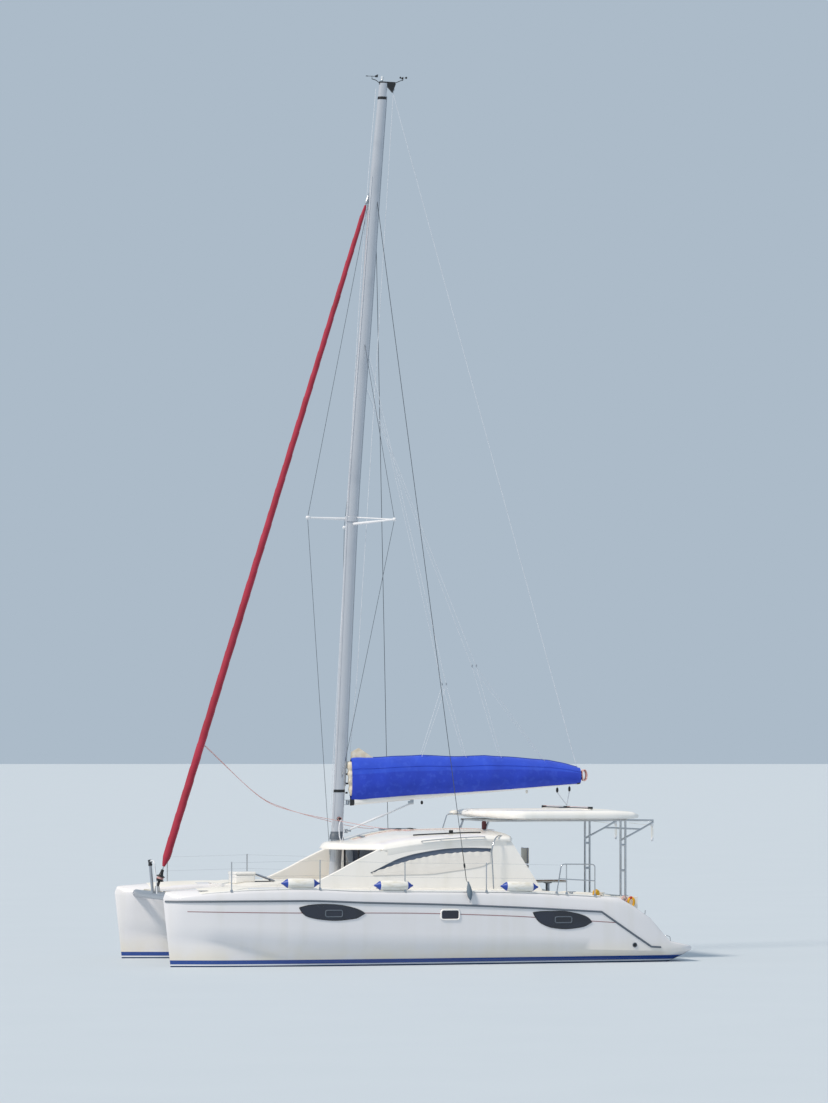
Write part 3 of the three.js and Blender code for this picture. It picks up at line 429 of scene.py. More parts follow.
for name, side in SIDES:
    shell = sheath(list(hull_rings()))
    for vert in shell.verts:
        vert.co.y += side * HULL_Y
    hull = fit(shell, f"{name}_hull_shell", "boat", topsides, [f"hull_{name}"], sharp=48)
    y, top = side * HULL_Y, 2.2
    steps = [block((aft - 0.001, y - STEP_HALF, z), (front, y + STEP_HALF, top)) for front, aft,
        z in TREADS]
    bay = block((ENGINE_BAY["aft"], y - ENGINE_BAY["half"], ENGINE_BAY["floor"]),
                (ENGINE_BAY["front"], y + ENGINE_BAY["half"], top))
    carve(hull, [*steps, bay])
    hull.data.materials.append(nonskid.material)
    for face in hull.data.polygons:
        tread = face.normal.z > 0.8 and face.center.z > 0.35 and face.center.x < 5.0
        face.material_index = 1 if tread and abs(face.center.y - y) < NONSKID_HALF else 0

# Hull trim: a grey rubber strake over the moulding joint, down to the bathing platform, and a
# thin reddish pinstripe below it, laid on the paint.
def side_breadth(x, z):
    """Half breadth of a hull's side at a height between the chine and the gunwale."""
    *_, chine_y, chine_z, rail_y, rail_z, sheer_y, sheer_z, _ = station(x)
    if z < rail_z:
        return chine_y + (rail_y - chine_y) * (z - chine_z) / (rail_z - chine_z)
    return rail_y + (sheer_y - rail_y) * (z - rail_z) / (sheer_z - rail_z)


def on_side(side, x, z, proud=0.0):
    """A point on the outboard side of a hull."""
    lean = raked(x, 0, z).x - x
    return Vector((x + lean, side * (HULL_Y + side_breadth(x, z) + proud), z))


def tubes(name, lines, thickness, body, paint, replaces=(), facets=10):
    """Round rods, tubes or wires along lines of points, joined in one piece."""
    path = bpy.data.curves.new(name, "CURVE")
    path.dimensions = "3D"
    path.bevel_depth = thickness / 2
    path.bevel_resolution = (facets - 4) // 2
    path.use_fill_caps = True
    for line in lines:
        run = path.splines.new("POLY")
        run.points.add(len(line) - 1)
        for knot, point in zip(run.points, line):
            knot.co = (*point[:3], 1)
            knot.radius = point[3] if len(point) > 3 else 1
    guide = bpy.data.objects.new(name, path)
    bpy.context.scene.collection.objects.link(guide)
    swept = guide.evaluated_get(bpy.context.evaluated_depsgraph_get())
    mesh = bpy.data.meshes.new_from_object(swept)
    bpy.data.objects.remove(guide)
    bpy.data.curves.remove(path)
    bm = bmesh.new()
    bm.from_mesh(mesh)
    bpy.data.meshes.remove(mesh)
    bmesh.ops.remove_doubles(bm, verts=bm.verts, dist=1e-6)
    bmesh.ops.recalc_face_normals(bm, faces=bm.faces)
    for face in bm.faces:
        face.material_index = 0
    return fit(bm, name, body, paint, replaces, sharp=50)


def rounded(points, radius, steps=5):
    """A line of points with its corners rounded."""
    points = [Vector(point) for point in points]
    line = [points[0]]
    for a, b, c in zip(points, points[1:], points[2:]):
        near = min(radius, (a - b).length * 0.49, (c - b).length * 0.49)
        line += corner(b + (a - b).normalized() * near, b, b + (c - b).normalized() * near, steps)
    return [*line, points[-1]]


rubber = Paint("grey_rubber", tone("56606c"), 0.45)
rubber.tinted(rubber.noise(5.0, 4.0) * 0.5, tone("6d7680"))
pinstripe = Paint("pinstripe", tone("8d5a5c"), 0.3)
pinstripe.tinted(pinstripe.noise(4.0) * 0.3, tone("a98080"))
STRAKE_ENDS = (5.70, -5.0)
PINSTRIPE_ROWS = [(5.3, 1.154), (2.99, 1.12), (0.82, 1.098), (-1.37, 1.023), (-3.94, 0.849)]

for name, side in SIDES:
    ends = [STRAKE_ENDS[0], *(row[0] for row in STATIONS[1:13]), STRAKE_ENDS[1]]
    places = [a + (b - a) * k / 8 for a, b in zip(ends, ends[1:]) for k in range(8)]
    strake = [on_side(side, x, station(x)[10], 0.002) for x in places]
    tubes(f"{name}_rubbing_strake", [strake], 0.042, "boat", rubber)
    rings = []
    for x in (5.3 - 9.24 * k / 90 for k in range(91)):
        z = fair(PINSTRIPE_ROWS, x)[0]
        corners = ((0.007, -0.002), (0.007, 0.003), (-0.007, 0.003), (-0.007, -0.002))
        rings.append([on_side(side, x, z + up, proud) for up, proud in corners])
    fit(sheath(rings), f"{name}_pinstripe", "boat", pinstripe)


# Hull windows: long leaf-shaped panes of smoked acrylic bonded over the side, each with a small
# opening port in a frame, and one small port amidships. Points are x, height, from the bow aft.
FORWARD_LEAF = {"over": [(3.01, 1.23), (2.78, 1.28), (2.50, 1.295), (2.20, 1.28), (1.87, 1.22),
    (1.68, 1.15), (1.60, 1.10)], "under": [(3.01, 1.23), (2.95, 1.13), (2.84, 1.05), (2.55, 0.985),
    (2.24, 0.96), (1.80, 1.00), (1.60, 1.10)], "port": ((2.45, 1.035), (2.09, 1.17)), }
AFT_LEAF = {"over": [(-2.09, 1.08), (-2.30, 1.10), (-2.71, 1.10), (-3.05, 1.05), (-3.25, 0.99),
    (-3.36, 0.92), (-3.40, 0.865)], "under": [(-2.09, 1.08), (-2.16, 0.95), (-2.28, 0.85), (-2.52, 0.76),
    (-2.82, 0.73), (-3.20, 0.77), (-3.40, 0.865)], "port": ((-2.58, 0.86), (-2.95, 0.985)), }
SMALL_PORT = ((-0.06, 0.95), (-0.46, 1.155))

smoked = Paint("smoked_acrylic", tone("141a26"), 0.06, Coat_Weight=0.3)
# Lighter blue clouds on the dark acrylic are a painted sheen, a painted reflection; the same noise also
# varies the roughness.
sheen = smoked.noise(1.4, 2.0)
smoked.tinted(sheen.above(0.5, 0.2) * 0.35, tone("26314a"))
smoked.put("Roughness", sheen * 0.08 + 0.03)
black = Paint("black_moulding", tone("1b1d20"), 0.45)
black.tinted(black.noise(30.0, 4.0) * 0.4, tone("303338"))
stainless = Paint("polished_stainless", tone("c3c6ca"), 0.18, 1.0)
brushed = stainless.noise(40.0, 4.0)
stainless.put("Roughness", brushed * 0.14 + 0.1)
stainless.tinted(stainless.noise(3.0, 4.0).above(0.6, 0.2) * 0.3, tone("a59c90"))


def leaf(side, over, under, proud, slices=36):
    """A pane over the hull's side, bounded above and below by smooth lines, as a bmesh."""
    rings = []
    for k in range(slices + 1):
        x = over[0][0] + (over[-1][0] - over[0][0]) * (1 - math.cos(math.pi * k / slices)) / 2
        high, low = fair(over, x)[0], fair(under, x)[0]
        rings.append([on_side(side, x, low + (high - low) * row / 4, proud) for row in range(5)])
    bm = sheath(rings, closed=False, ends=False)
    if sum((face.normal.y * side) for face in bm.faces) < 0:
        bmesh.ops.reverse_faces(bm, faces=bm.faces)
    bmesh.ops.solidify(bm, geom=bm.faces[:], thickness=0.008)
    return bm


def port_frame(side, low, high, proud, round_by=0.04):
    """The line of a small port's frame on the hull's side."""
    (x0, z0), (x1, z1) = low, high
    flat = rounded([((x0 + x1) / 2, 0, z0), (x0, 0, z0), (x0, 0, z1), (x1, 0, z1), (x1, 0, z0),
                    ((x0 + x1) / 2 + 0.001, 0, z0)], round_by)
    return [on_side(side, point.x, point.z, proud) for point in flat]


for name, side in SIDES:
    for place, window in (("forward", FORWARD_LEAF), ("aft", AFT_LEAF)):
        over, under = window["over"], window["under"]
        pane = leaf(side, over, under, 0.012)
        fit(pane, f"{name}_{place}_hull_window", "boat", smoked)
        edge = [(x, fair(over, x)[0]) for x in (over[0][0] + (over[-1][0] - over[0][0]) * k / 30
            for k in range(31))]
        edge += [(x, fair(under, x)[0]) for x in (under[-1][0] + (under[0][0] - under[-1][0]) * k / 30
            for k in range(1, 31))]
        rim = [on_side(side, x, z, 0.006) for x, z in edge]
        tubes(f"{name}_{place}_window_seal", [rim], 0.018, "boat", black, facets=8)
        frame_line = port_frame(side, *window["port"], 0.014)
        tubes(f"{name}_{place}_port_frame", [frame_line], 0.022, "boat", rubber, facets=8)
    (x0, z0), (x1, z1) = SMALL_PORT
    glass_rows = [(x0, z1), (x0 - 0.02, z1), (x1 + 0.02, z1), (x1, z1)], [(x0, z0), (x0 - 0.02, z0),
        (x1 + 0.02, z0), (x1, z0)]
    fit(leaf(side, *glass_rows, 0.009, 8), f"{name}_small_port_pane", "boat", smoked)
    tubes(f"{name}_small_port_frame", [port_frame(side, *SMALL_PORT, 0.006, 0.06)], 0.034, "boat",
        gelcoat)


# Deck edge: stanchions and a stern rail of stainless tube in cast feet, with guard wires between
# them and a low aluminium toe rail. Bow, spring and stern cleats are cast stainless.
STANCHIONS = [4.40, 2.55, 0.71, -1.08]
STANCHION_HEIGHT = 0.62
EDGE_INSET = 0.03
STERN_RAIL = (-2.64, -3.50)
CLEATS = [4.95, 1.2, -3.0]
aluminium = Paint("anodised_aluminium", tone("b4bac2"), 0.34, 0.75)
drawn = aluminium.noise(6.0, 4.0, aluminium.stretched(6.0, 6.0, 0.2))
aluminium.tinted(drawn * 0.5, tone("9299a2"))
aluminium.put("Roughness", drawn * 0.2 + 0.24)


def deck_edge(side, x, up=0.012):
    row = station(x)
    return Vector((raked(x, 0, row[12]).x, side * (HULL_Y + row[11] - EDGE_INSET), row[12] + up))


def cleat_form(where, along, length=0.24):
    """A horn cleat on a small base, as a bmesh."""
    bm = block((-0.05, -0.022, 0), (0.05, 0.022, 0.012), 0.004)
    for x in (-0.03, 0.03):
        bmesh.ops.create_cone(bm, cap_ends=True, segments=10, radius1=0.013, radius2=0.010, depth=0.035)
        bmesh.ops.translate(bm, verts=bm.verts[-20:], vec=(x, 0, 0.028))
    bmesh.ops.create_uvsphere(bm, u_segments=10, v_segments=12, radius=0.015)
    for vert in bm.verts[-(10 * 11 + 2):]:
        stretch = vert.co.x * length / 0.03
        vert.co = (stretch, vert.co.y * 0.8, vert.co.z * 0.8 + 0.052 + 0.5 * stretch ** 2)
    turn = math.atan2(along.y, along.x)
    bmesh.ops.rotate(bm, verts=bm.verts, cent=(0, 0, 0), matrix=Matrix.Rotation(turn, 3, "Z"))
    bmesh.ops.translate(bm, verts=bm.verts, vec=where)
    return bm


for name, side in SIDES:
    toe = [deck_edge(side, 5.0 - 8.62 * k / 60) for k in range(61)]
    posts = []
    for x in STANCHIONS:
        foot = deck_edge(side, x, 0)
        posts += [[foot, foot + Vector((0, 0, STANCHION_HEIGHT))]]
    front, aft = STERN_RAIL
    high = deck_edge(side, front).z + STANCHION_HEIGHT
    a, b = deck_edge(side, front), deck_edge(side, aft)
    hoop = rounded([a, (front - 0.11, a.y, high), (aft, b.y, high - 0.01), b], 0.08)
    middle = [(front - 0.07, a.y, (a.z + high) / 2), (aft, b.y, (b.z + high) / 2 - 0.02)]
    upright = [(front - 0.22, a.y, deck_edge(side, front - 0.22).z), (front - 0.22, a.y, high - 0.004)]
    frames = [*posts, hoop, middle, upright]
    tubes(f"{name}_rail_tubes", frames, 0.026, "boat", stainless, [f"guardrail_{name}"])
    tubes(f"{name}_toe_rail", [toe], 0.03, "boat", gelcoat, facets=8)
    feet = [[(*post[0], 1.0), (*(post[0] + Vector((0, 0, 0.01))), 1.0),
        (*(post[0] + Vector((0, 0, 0.05))), 0.55)] for post in [*posts, [a], [b], [Vector(upright[0])]]]
    tubes(f"{name}_stanchion_feet", feet, 0.07, "boat", stainless)
    caps = [post[1] for post in posts]
    wires = []
    for drop in (0.02, 0.32):
        wires.append([*(cap - Vector((0, 0, drop)) for cap in caps),
            Vector((front - 0.11, a.y, high - drop))])
    tubes(f"{name}_guard_wires", wires, 0.004, "boat", stainless, facets=6)
    for number, x in enumerate(CLEATS):
        where = deck_edge(side, x, 0.0) + Vector((0, -side * 0.10, 0.012))
        cleat = cleat_form(where, deck_edge(side, x - 0.1) - deck_edge(side, x))
        fit(cleat, f"{name}_cleat_{number + 1}", "boat", stainless)


# Fenders: inflated white vinyl barrels with moulded blue ends, laid along the deck's edge and tied
# to the toe rail with a short lanyard.
FENDERS = [(3.36, 2.55), (1.37, 0.52), (-1.41, -2.24)]
FENDER_RADIUS = 0.105
vinyl = Paint("white_vinyl", tone("eceae4"), 0.38)
scuffs = vinyl.noise(9.0, 5.0, vinyl.stretched(0.6, 1.0, 2.0))
vinyl.tinted(scuffs.above(0.55, 0.12) * 0.5, tone("cfc8b4"))
blue_vinyl = Paint("blue_vinyl", tone("1d3f9c"), 0.42)
blue_vinyl.tinted(blue_vinyl.noise(8.0, 4.0) * 0.4, tone("2e57b4"))
rope = Paint("braided_rope", tone("e6e2d6"), 0.8)
fleck = rope.noise(130.0, 3.0)
rope.tinted(fleck.above(0.56, 0.05) * 0.7, tone("9fa6ad"))
rope.bump(fleck, 0.001)

for name, side in SIDES:
    for number, (front, aft) in enumerate(FENDERS if side > 0 else FENDERS[1:]):
        a, b = deck_edge(side, front), deck_edge(side, aft)
        inboard = Vector((0, -side * 0.05, FENDER_RADIUS + 0.012))
        length = (a - b).length
        ends = [(0.0, 0.016), (0.03, 0.026), (0.10, 0.078), (0.13, 0.095), (0.17, FENDER_RADIUS)]
        profile = [*ends, (length / 2, FENDER_RADIUS * 1.02), *((length - t, r) for t, r in reversed(ends))]
        way = (b - a).normalized()
        sideways = way.cross(Vector((0, 0, 1))).normalized()
        upward = sideways.cross(way)
        rings = [[a + inboard + way * t + (sideways * math.cos(k * math.pi / 12)
            + upward * math.sin(k * math.pi / 12)) * r for k in range(24)] for t, r in profile]
        fender = fit(sheath(rings), f"{name}_fender_{number + 1}", "boat", vinyl, sharp=45)
        fender.data.materials.append(blue_vinyl.material)
        for face in fender.data.polygons:
            t = (face.center - a - inboard).dot(way)
            face.material_index = 1 if t < 0.125 or t > length - 0.125 else 0
        tie = spline([a, a + inboard, a + Vector((0.08, 0, 0.10)), a + Vector((0.12, side * 0.02, 0.02)),
            a], 6)
        tubes(f"{name}_fender_tie_{number + 1}", [tie], 0.008, "boat", rope, facets=6)

# Bridgedeck: one sandwich moulding between the hulls, from the foredeck over the saloon's sole to
# the cockpit and the beam behind it. Its corners are rounded as they come out of the mould.
def dressed(node, paint, name=None, round_by=0.0, body="boat", segments=3):
    """A copy of a CAD solid with its flats merged and its edges rounded."""
    bm = bmesh.new()
    bm.from_mesh(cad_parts[node].data)
    bmesh.ops.remove_doubles(bm, verts=bm.verts, dist=1e-5)
    bmesh.ops.dissolve_limit(bm, angle_limit=math.radians(1), verts=bm.verts, edges=bm.edges)
    if round_by:
        edges = [edge for edge in bm.edges if edge.is_manifold and edge.calc_face_angle(0) > 0.5]
        bmesh.ops.bevel(bm, geom=edges, offset=round_by, segments=segments, profile=0.5,
                        affect="EDGES", material=-1, clamp_overlap=True)
    return fit(bm, name or node + "_moulding", body, paint, [node])


bridgedeck = dressed("bridgedeck", gelcoat, round_by=0.018)
bridgedeck.data.materials.append(nonskid.material)
for face in bridgedeck.data.polygons:
    face.material_index = 1 if face.normal.z > 0.9 and face.area > 0.2 else 0


# Deckhouse: a moulded roof with a crown, whose front runs out as a brow over the windscreen. It
# rests on two sides that lean inwards, each with one long pane under the arch of the roof.
# Columns: x, half width, height at the edge, height at the crown and depth of the shell
ROOF_ROWS = [
    (1.70, 0.09, 2.41, 2.43, 0.03), (1.57, 0.5, 2.413, 2.535, 0.035), (1.37, 1.04, 2.42, 2.56, 0.04),
    (1.12, 1.5, 2.43, 2.585, 0.045), (0.83, 1.9, 2.425, 2.66, 0.05), (0.6, 1.9, 2.455, 2.715, 0.06),
    (0.17, 1.9, 2.52, 2.778, 0.06), (-0.48, 1.9, 2.58, 2.792, 0.06), (-1.34, 1.9, 2.62, 2.807, 0.06),
    (-1.94, 1.9, 2.62, 2.775, 0.06), (-2.08, 1.6, 2.62, 2.745, 0.06), (-2.27, 1.0, 2.61, 2.695, 0.06),
    (-2.45, 0.45, 2.58, 2.64, 0.06), (-2.6, 0.08, 2.575, 2.597, 0.04),
]
ROOF_STEPS = [4, 4, 5, 5, 4, 5, 6, 8, 6, 4, 4, 4, 3]
ROOF_LIP = 0.014


def roof_height(x, y):
    """Height of the roof's skin."""
    half, edge, crown, _ = fair(ROOF_ROWS, x)
    return edge + (crown - edge) * math.sqrt(max(0, 1 - (y / half) ** 2))


def roof_ring(x, rise=0.0):
    half, edge, crown, depth = fair(ROOF_ROWS, x)
    lip = min(ROOF_LIP, depth / 3)
    angles = [math.radians(90 - 180 * k / 28) for k in range(29)]
    top = [((half - lip) * math.sin(a), edge + (crown - edge) * math.cos(a)) for a in angles]
    side = [(-half, edge - lip), (-half, edge - depth + lip)]
    low = [((half - lip) * math.sin(a), edge - depth + (crown - edge) * math.cos(a)) for a in angles]
    ring = [*top, *side, *reversed(low), *((-y, z) for y, z in reversed(side))]
    return [Vector((x, y, z + rise)) for y, z in ring]


MAST_ROWS = [
    (18.95, 0.3, 0.19, 0.13), (16.6, 0.5, 0.25, 0.165), (14.22, 0.67, 0.262, 0.172),
    (12.0, 0.84, 0.265, 0.175), (9.475, 1.01, 0.265, 0.175), (7.3, 1.115, 0.265, 0.175),
    (3.43, 1.30, 0.265, 0.175), (1.7, 1.39, 0.265, 0.175),
]


def mast_ring(z, grow=0.0, points=32):
    """A level section of the mast: an oval with a flatter back."""
    x, chord, breadth = fair(MAST_ROWS, z)
    ring = []
    for k in range(points):
        a = 2 * math.pi * (k + 0.5) / points
        along = math.cos(a) * (1 if math.cos(a) > 0 else 0.94)
        ring.append(Vector((x + (chord / 2 + grow) * along, (breadth / 2 + grow) * math.sin(a), z)))
    return ring


spans = zip(ROOF_ROWS, ROOF_ROWS[1:], ROOF_STEPS)
places = [a[0] + (b[0] - a[0]) * k / n for a, b, n in spans for k in range(n)]
roof = fit(sheath([roof_ring(x) for x in [*places, ROOF_ROWS[-1][0]]]),
           "roof_moulding", "boat", gelcoat, ["saloon_roof"], sharp=40)
carve(roof, [sheath([mast_ring(2.0, 0.018), mast_ring(3.0, 0.018)])])

WALL = 0.06
TUMBLEHOME = 0.12
ARCH = [(2.45, 1.665), (1.93, 1.9), (1.62, 2.06), (1.29, 2.222), (0.93, 2.385)]
WINDOW_TOP = [(1.16, 1.912), (1.02, 1.975), (0.72, 2.12), (0.5, 2.21), (0.11, 2.31), (-0.515, 2.40),
    (-1.05, 2.42), (-1.53, 2.405)]
WINDOW_FOOT = [(1.16, 1.912), (1.04, 1.908), (0.33, 1.945), (-0.515, 1.99), (-1.05, 2.02), (-1.3, 2.06),
    (-1.45, 2.2), (-1.53, 2.405)]


def on_wall(side, x, z, proud=0.0):
    """A point on the outside of the deckhouse."""
    return Vector((x, side * (1.98 + proud - (z - STEM_TOP) * TUMBLEHOME), z))


def plate(outline, inward):
    """A flat sheet with the given outline and thickness, as a bmesh."""
    bm = bmesh.new()
    bmesh.ops.create_circle(bm, cap_ends=True, radius=1, segments=len(outline))
    for vert, point in zip(bm.verts, outline):
        vert.co = point
    moved = bmesh.ops.extrude_face_region(bm, geom=bm.faces[:])
    verts = [item for item in moved["geom"] if isinstance(item, bmesh.types.BMVert)]
    bmesh.ops.translate(bm, verts=verts, vec=inward)
    bmesh.ops.recalc_face_normals(bm, faces=bm.faces)
    return bm


def smooth_line(rows, steps=6):
    """A fair line through x, z points from the bow aft."""
    a, b = Vector(rows[0]), Vector(rows[-1])
    points = [a * 2 - Vector(rows[1]), *map(Vector, rows), b * 2 - Vector(rows[-2])]
    return spline(points, steps)


def window_outline():
    top, foot = smooth_line(WINDOW_TOP), smooth_line(WINDOW_FOOT)
    return [*top, *reversed(foot[1:-1])]


smoke = Paint("smoked_glass", tone("2b3342"), 0.05, Alpha=0.88, IOR=1.45)
tinted_glass = Paint("tinted_glass", tone("5c687c"), 0.12, Alpha=0.94, IOR=1.45)
# Both glasses get lighter patches from noise, painted reflections on the dark glass; the same noise also
# varies the roughness.
for glass, other in ((smoke, "46536a"), (tinted_glass, "727e92")):
    glass_painted_sheen = glass.noise(1.1, 2.0)
    glass.tinted(glass_painted_sheen.above(0.5, 0.25) * 0.4, tone(other))
    glass.put("Roughness", glass_painted_sheen * 0.06 + 0.03)
cloth = Paint("screen_cloth", tone("eeebe6"), 0.85, Sheen_Weight=0.2)
weave = cloth.node("ShaderNodeTexWave", {"bands_direction": "Z"}, Vector=cloth.place(), Scale=70.0)
weft = cloth.node("ShaderNodeTexWave", {"bands_direction": "X"}, Vector=cloth.place(), Scale=70.0)
cloth.tinted(cloth.noise(4.0, 4.0).above(0.55, 0.2) * 0.35, tone("dcd8d2"))
cloth.bump(weave + weft, 0.0008, 0.6)

for name, side in SIDES:
    low = [(2.45, 1.5), (-2.64, 1.35), (-2.64, 1.52), (-1.94, 2.64)]
    aft_edge = [on_wall(side, x, z) for x, z in low]
    eaves = [on_wall(side, x, fair(ROOF_ROWS, x)[1] - fair(ROOF_ROWS, x)[3] + 0.02)
             for x in (-1.94 + 2.7 * k / 18 for k in range(1, 19))]
    arch = [on_wall(side, *point) for point in reversed(smooth_line(ARCH, 5)[:-1])]
    wall = fit(plate([*aft_edge, *eaves, *arch], (0, -side * WALL, 0)), f"{name}_deckhouse_side",
               "boat", gelcoat, [f"saloon_side_{name}"])
    recess = [on_wall(side, point.x, point.y, 0.05) for point in window_outline()]
    hole = [point for point in recess if point.x < 0.62]
    carve(wall, [plate(recess, (0, -side * 0.08, 0)), plate(hole, (0, -side * 0.2, 0))])
    pane = [on_wall(side, point.x, point.y, -0.012) for point in window_outline()]
    fit(plate(pane, (0, -side * 0.01, 0)), f"{name}_side_pane", "boat", tinted_glass,
        [f"saloon_window_{name}"])
    edge = [on_wall(side, point.x, point.y, 0.0) for point in window_outline()]
    tubes(f"{name}_window_rubber", [[*edge, edge[0]]], 0.013, "boat", rubber, facets=8)
    arch_lip = [on_wall(side, point.x, point.y + 0.006, -WALL / 2) for point in smooth_line(ARCH, 5)]
    tubes(f"{name}_arch_edge", [arch_lip], WALL, "boat", gelcoat)
    cove = []
    for x in (0.78 - 2.66 * k / 30 for k in range(31)):
        edge = fair(ROOF_ROWS, x)[1]
        high, bulge, low = Vector((x, side * 1.898, edge - 0.03)), on_wall(side, x, edge - 0.09,
            0.02), on_wall(side, x, edge - 0.15, 0.002)
        cove.append([high, bulge, low, low - Vector((0, side * 0.05, 0)),
            high - Vector((0, side * 0.09, 0))])
    fit(sheath(cove), f"{name}_eaves_cove", "boat", gelcoat, sharp=50)

# Outside screens: white cloth pressed to the side panes below a strip of bare glass, and over the
# far part of the windscreen. It puckers between its press studs.
SCREEN_TOP = [(1.12, 1.93), (0.75, 2.045), (0.5, 2.12), (0.11, 2.215), (-0.515, 2.315), (-1.05, 2.345),
    (-1.5, 2.35)]
SCREEN_FOOT = [(1.12, 1.86), (0.33, 1.87), (-0.1, 1.875), (-0.515, 1.92), (-1.05, 1.985), (-1.3, 2.03),
    (-1.5, 2.12)]
PUCKER = 0.085


def cloth_sheet(name, tops, feet, wall_point, out, columns, rows):
    """A thin cloth between an upper and a lower line, puckered along its upper edge."""
    rings = []
    for i in range(columns + 1):
        t = i / columns
        high, low = tops(t), feet(t)
        run = (high - tops(0)).length / PUCKER
        dip = 0.014 * abs(math.sin(run * math.pi / 2)) + 0.01 * noise.noise(Vector((run, 0, 0)))
        ring = []
        for j in range(rows + 1):
            s = j / rows
            point = low.lerp(high + (low - high).normalized() * dip, s)
            fold = 0.005 * math.sin(run * math.pi + 0.6 * s) * s ** 3
            crease = 0.004 * noise.noise(Vector((t * 3.0, s * 9.0, 5.0)))
            ring.append(wall_point(point, 0.012 + fold + crease))
        rings.append(ring)
    bm = sheath(rings, closed=False, ends=False)
    if sum(face.normal.dot(out) for face in bm.faces) < 0:
        bmesh.ops.reverse_faces(bm, faces=bm.faces)
    bmesh.ops.solidify(bm, geom=bm.faces[:], thickness=0.002)
    return fit(bm, name, "boat", cloth, sharp=60)


def along_line(rows):
    """A function that reads a line of x, z rows from 0 at its front to 1 at its end."""
    def read(t):
        x = rows[0][0] + (rows[-1][0] - rows[0][0]) * t
        return Vector((x, 0, fair(rows, x)[0]))
    return read


for name, side in SIDES:
    sheet = cloth_sheet(f"{name}_side_screen", along_line(SCREEN_TOP), along_line(SCREEN_FOOT),
                        lambda point, proud: on_wall(side, point.x, point.z, proud),
                        Vector((0, side, 0)), 110, 14)


# Windscreen: three dark panes in one curve below the brow, over a moulded sill, with a mullion at
# each joint.
SCREEN_X, SCREEN_SWEEP, SCREEN_HALF = 1.09, 0.48, 1.79
SILL = 1.93


def on_screen(y, z, proud=0.0):
    return Vector((SCREEN_X - SCREEN_SWEEP * (y / SCREEN_HALF) ** 2 + proud, y, z))


bands = [SCREEN_HALF * (1 - 2 * k / 40) for k in range(41)]
rings = [[on_screen(y, z, back) for z, back in ((SILL, 0), (top, 0), (top, -0.016), (SILL, -0.016))]
         for y, top in ((y, roof_height(1.0, y) - 0.05) for y in bands)]
fit(sheath(rings), "windscreen_glass", "boat", smoke, ["windscreen"])
mullions = [[on_screen(y, SILL - 0.01, 0.004), on_screen(y, roof_height(1.0, y) - 0.12,
    0.004)] for y in (-0.62, 0.62)]
tubes("windscreen_mullions", mullions, 0.03, "boat", black)
tubes("windscreen_sill_seal", [[on_screen(y, SILL + 0.004, 0.004) for y in bands]], 0.02, "boat",
    black)
COVER_EDGE = (-1.62, -0.3)
cover = cloth_sheet("windscreen_cover", lambda t: Vector((0,
    COVER_EDGE[0] + (COVER_EDGE[1] - COVER_EDGE[0]) * t, 2.44 + 0.06 * math.sin(math.pi * t))),
    lambda t: Vector((0, COVER_EDGE[0] + (COVER_EDGE[1] - COVER_EDGE[0]) * t, SILL + 0.01)),
    lambda point, proud: on_screen(point.y, point.z, proud + 0.012), Vector((1, 0, 0)), 60, 14)

# Roof fittings: a rubber boot round the mast, thin rails on the eaves, two sheet tracks with cars,
# grab rails, a flush hatch, and an organiser that leads the halyards aft to the rope clutches.
collar = [mast_ring(z, grow) for z, grow in ((2.58, 0.03), (2.68, 0.026), (2.70, 0.012), (2.745, 0.01),
    (2.75, 0.003))]
fit(sheath(collar), "mast_boot", "boat", rubber)
for name, side in SIDES:
    eaves = [Vector((x, side * 1.915, fair(ROOF_ROWS, x)[1] + 0.035))
        for x in (0.02 - 1.4 * k / 10 for k in range(11))]
    feet = [[eaves[k], eaves[k] - Vector((0, side * 0.06, 0.01))] for k in (0, 3, 7, 10)]
    tubes(f"{name}_eaves_rail", [eaves, *feet], 0.022, "boat", stainless)
    track = [Vector((x, side * 1.5, roof_height(x, 1.5) + 0.010))
        for x in (0.09 - 1.51 * k / 12 for k in range(13))]
    tubes(f"{name}_sheet_track", [track], 0.026, "boat", black, facets=8)
    car = block((-0.80, -0.022, 0.02), (-0.71, 0.022, 0.075), 0.012)
    bmesh.ops.translate(car, verts=car.verts, vec=(0, side * 1.5, roof_height(-0.75, 1.5)))
    fit(car, f"{name}_sheet_car", "boat", black)
    pole = [(-1.82, side * 1.77, 2.66), (-1.71, side * 1.86, 2.69), (-1.58, side * 1.99, 2.62),
            (-1.48, side * 2.06, 2.4), (-1.50, side * 2.09, 1.9), (-1.51, side * 2.11, 1.52)]
    tubes(f"{name}_boarding_handrail", [rounded(pole, 0.12)], 0.028, "boat", stainless)
lines = []
for k, colour_y in enumerate((0.20, 0.28, 0.36, 0.44)):
    lines.append([(x, colour_y + 0.10 * max(0, 0.9 - x), roof_height(x, colour_y) + 0.012)
                  for x in (1.12 - 3.1 * s / 12 for s in range(13))])
red_rope = Paint("red_fleck_rope", tone("b6686c"), 0.8)
red_rope.tinted(red_rope.noise(120.0, 3.0).above(0.5, 0.08) * 0.8, tone("e8dcd6"))
tubes("roof_halyards", lines[:3], 0.010, "boat", rope, facets=6)
tubes("roof_reef_line", lines[3:], 0.010, "boat", red_rope, facets=6)
organiser = block((0.86, 0.14, 0), (0.94, 0.52, 0.035), 0.008)
bmesh.ops.translate(organiser, verts=organiser.verts, vec=(0, 0, roof_height(0.9, 0.33) - 0.004))
fit(organiser, "deck_organiser", "boat", aluminium)
for number, x in enumerate((0.02, -0.25)):
    clutch = block((x, 0.16, 0), (x + 0.06, 0.42, 0.045), 0.01)
    bmesh.ops.translate(clutch, verts=clutch.verts, vec=(0, 0, roof_height(x, 0.3) - 0.006))
    fit(clutch, f"rope_clutch_{number + 1}", "boat", black)
hatch = block((-0.45, -0.45, 0), (0.25, 0.25, 0.035), 0.014)
bmesh.ops.translate(hatch, verts=hatch.verts, vec=(0, -0.1, roof_height(-0.1, 0.3) - 0.012))
fit(hatch, "roof_hatch_frame", "boat", aluminium)
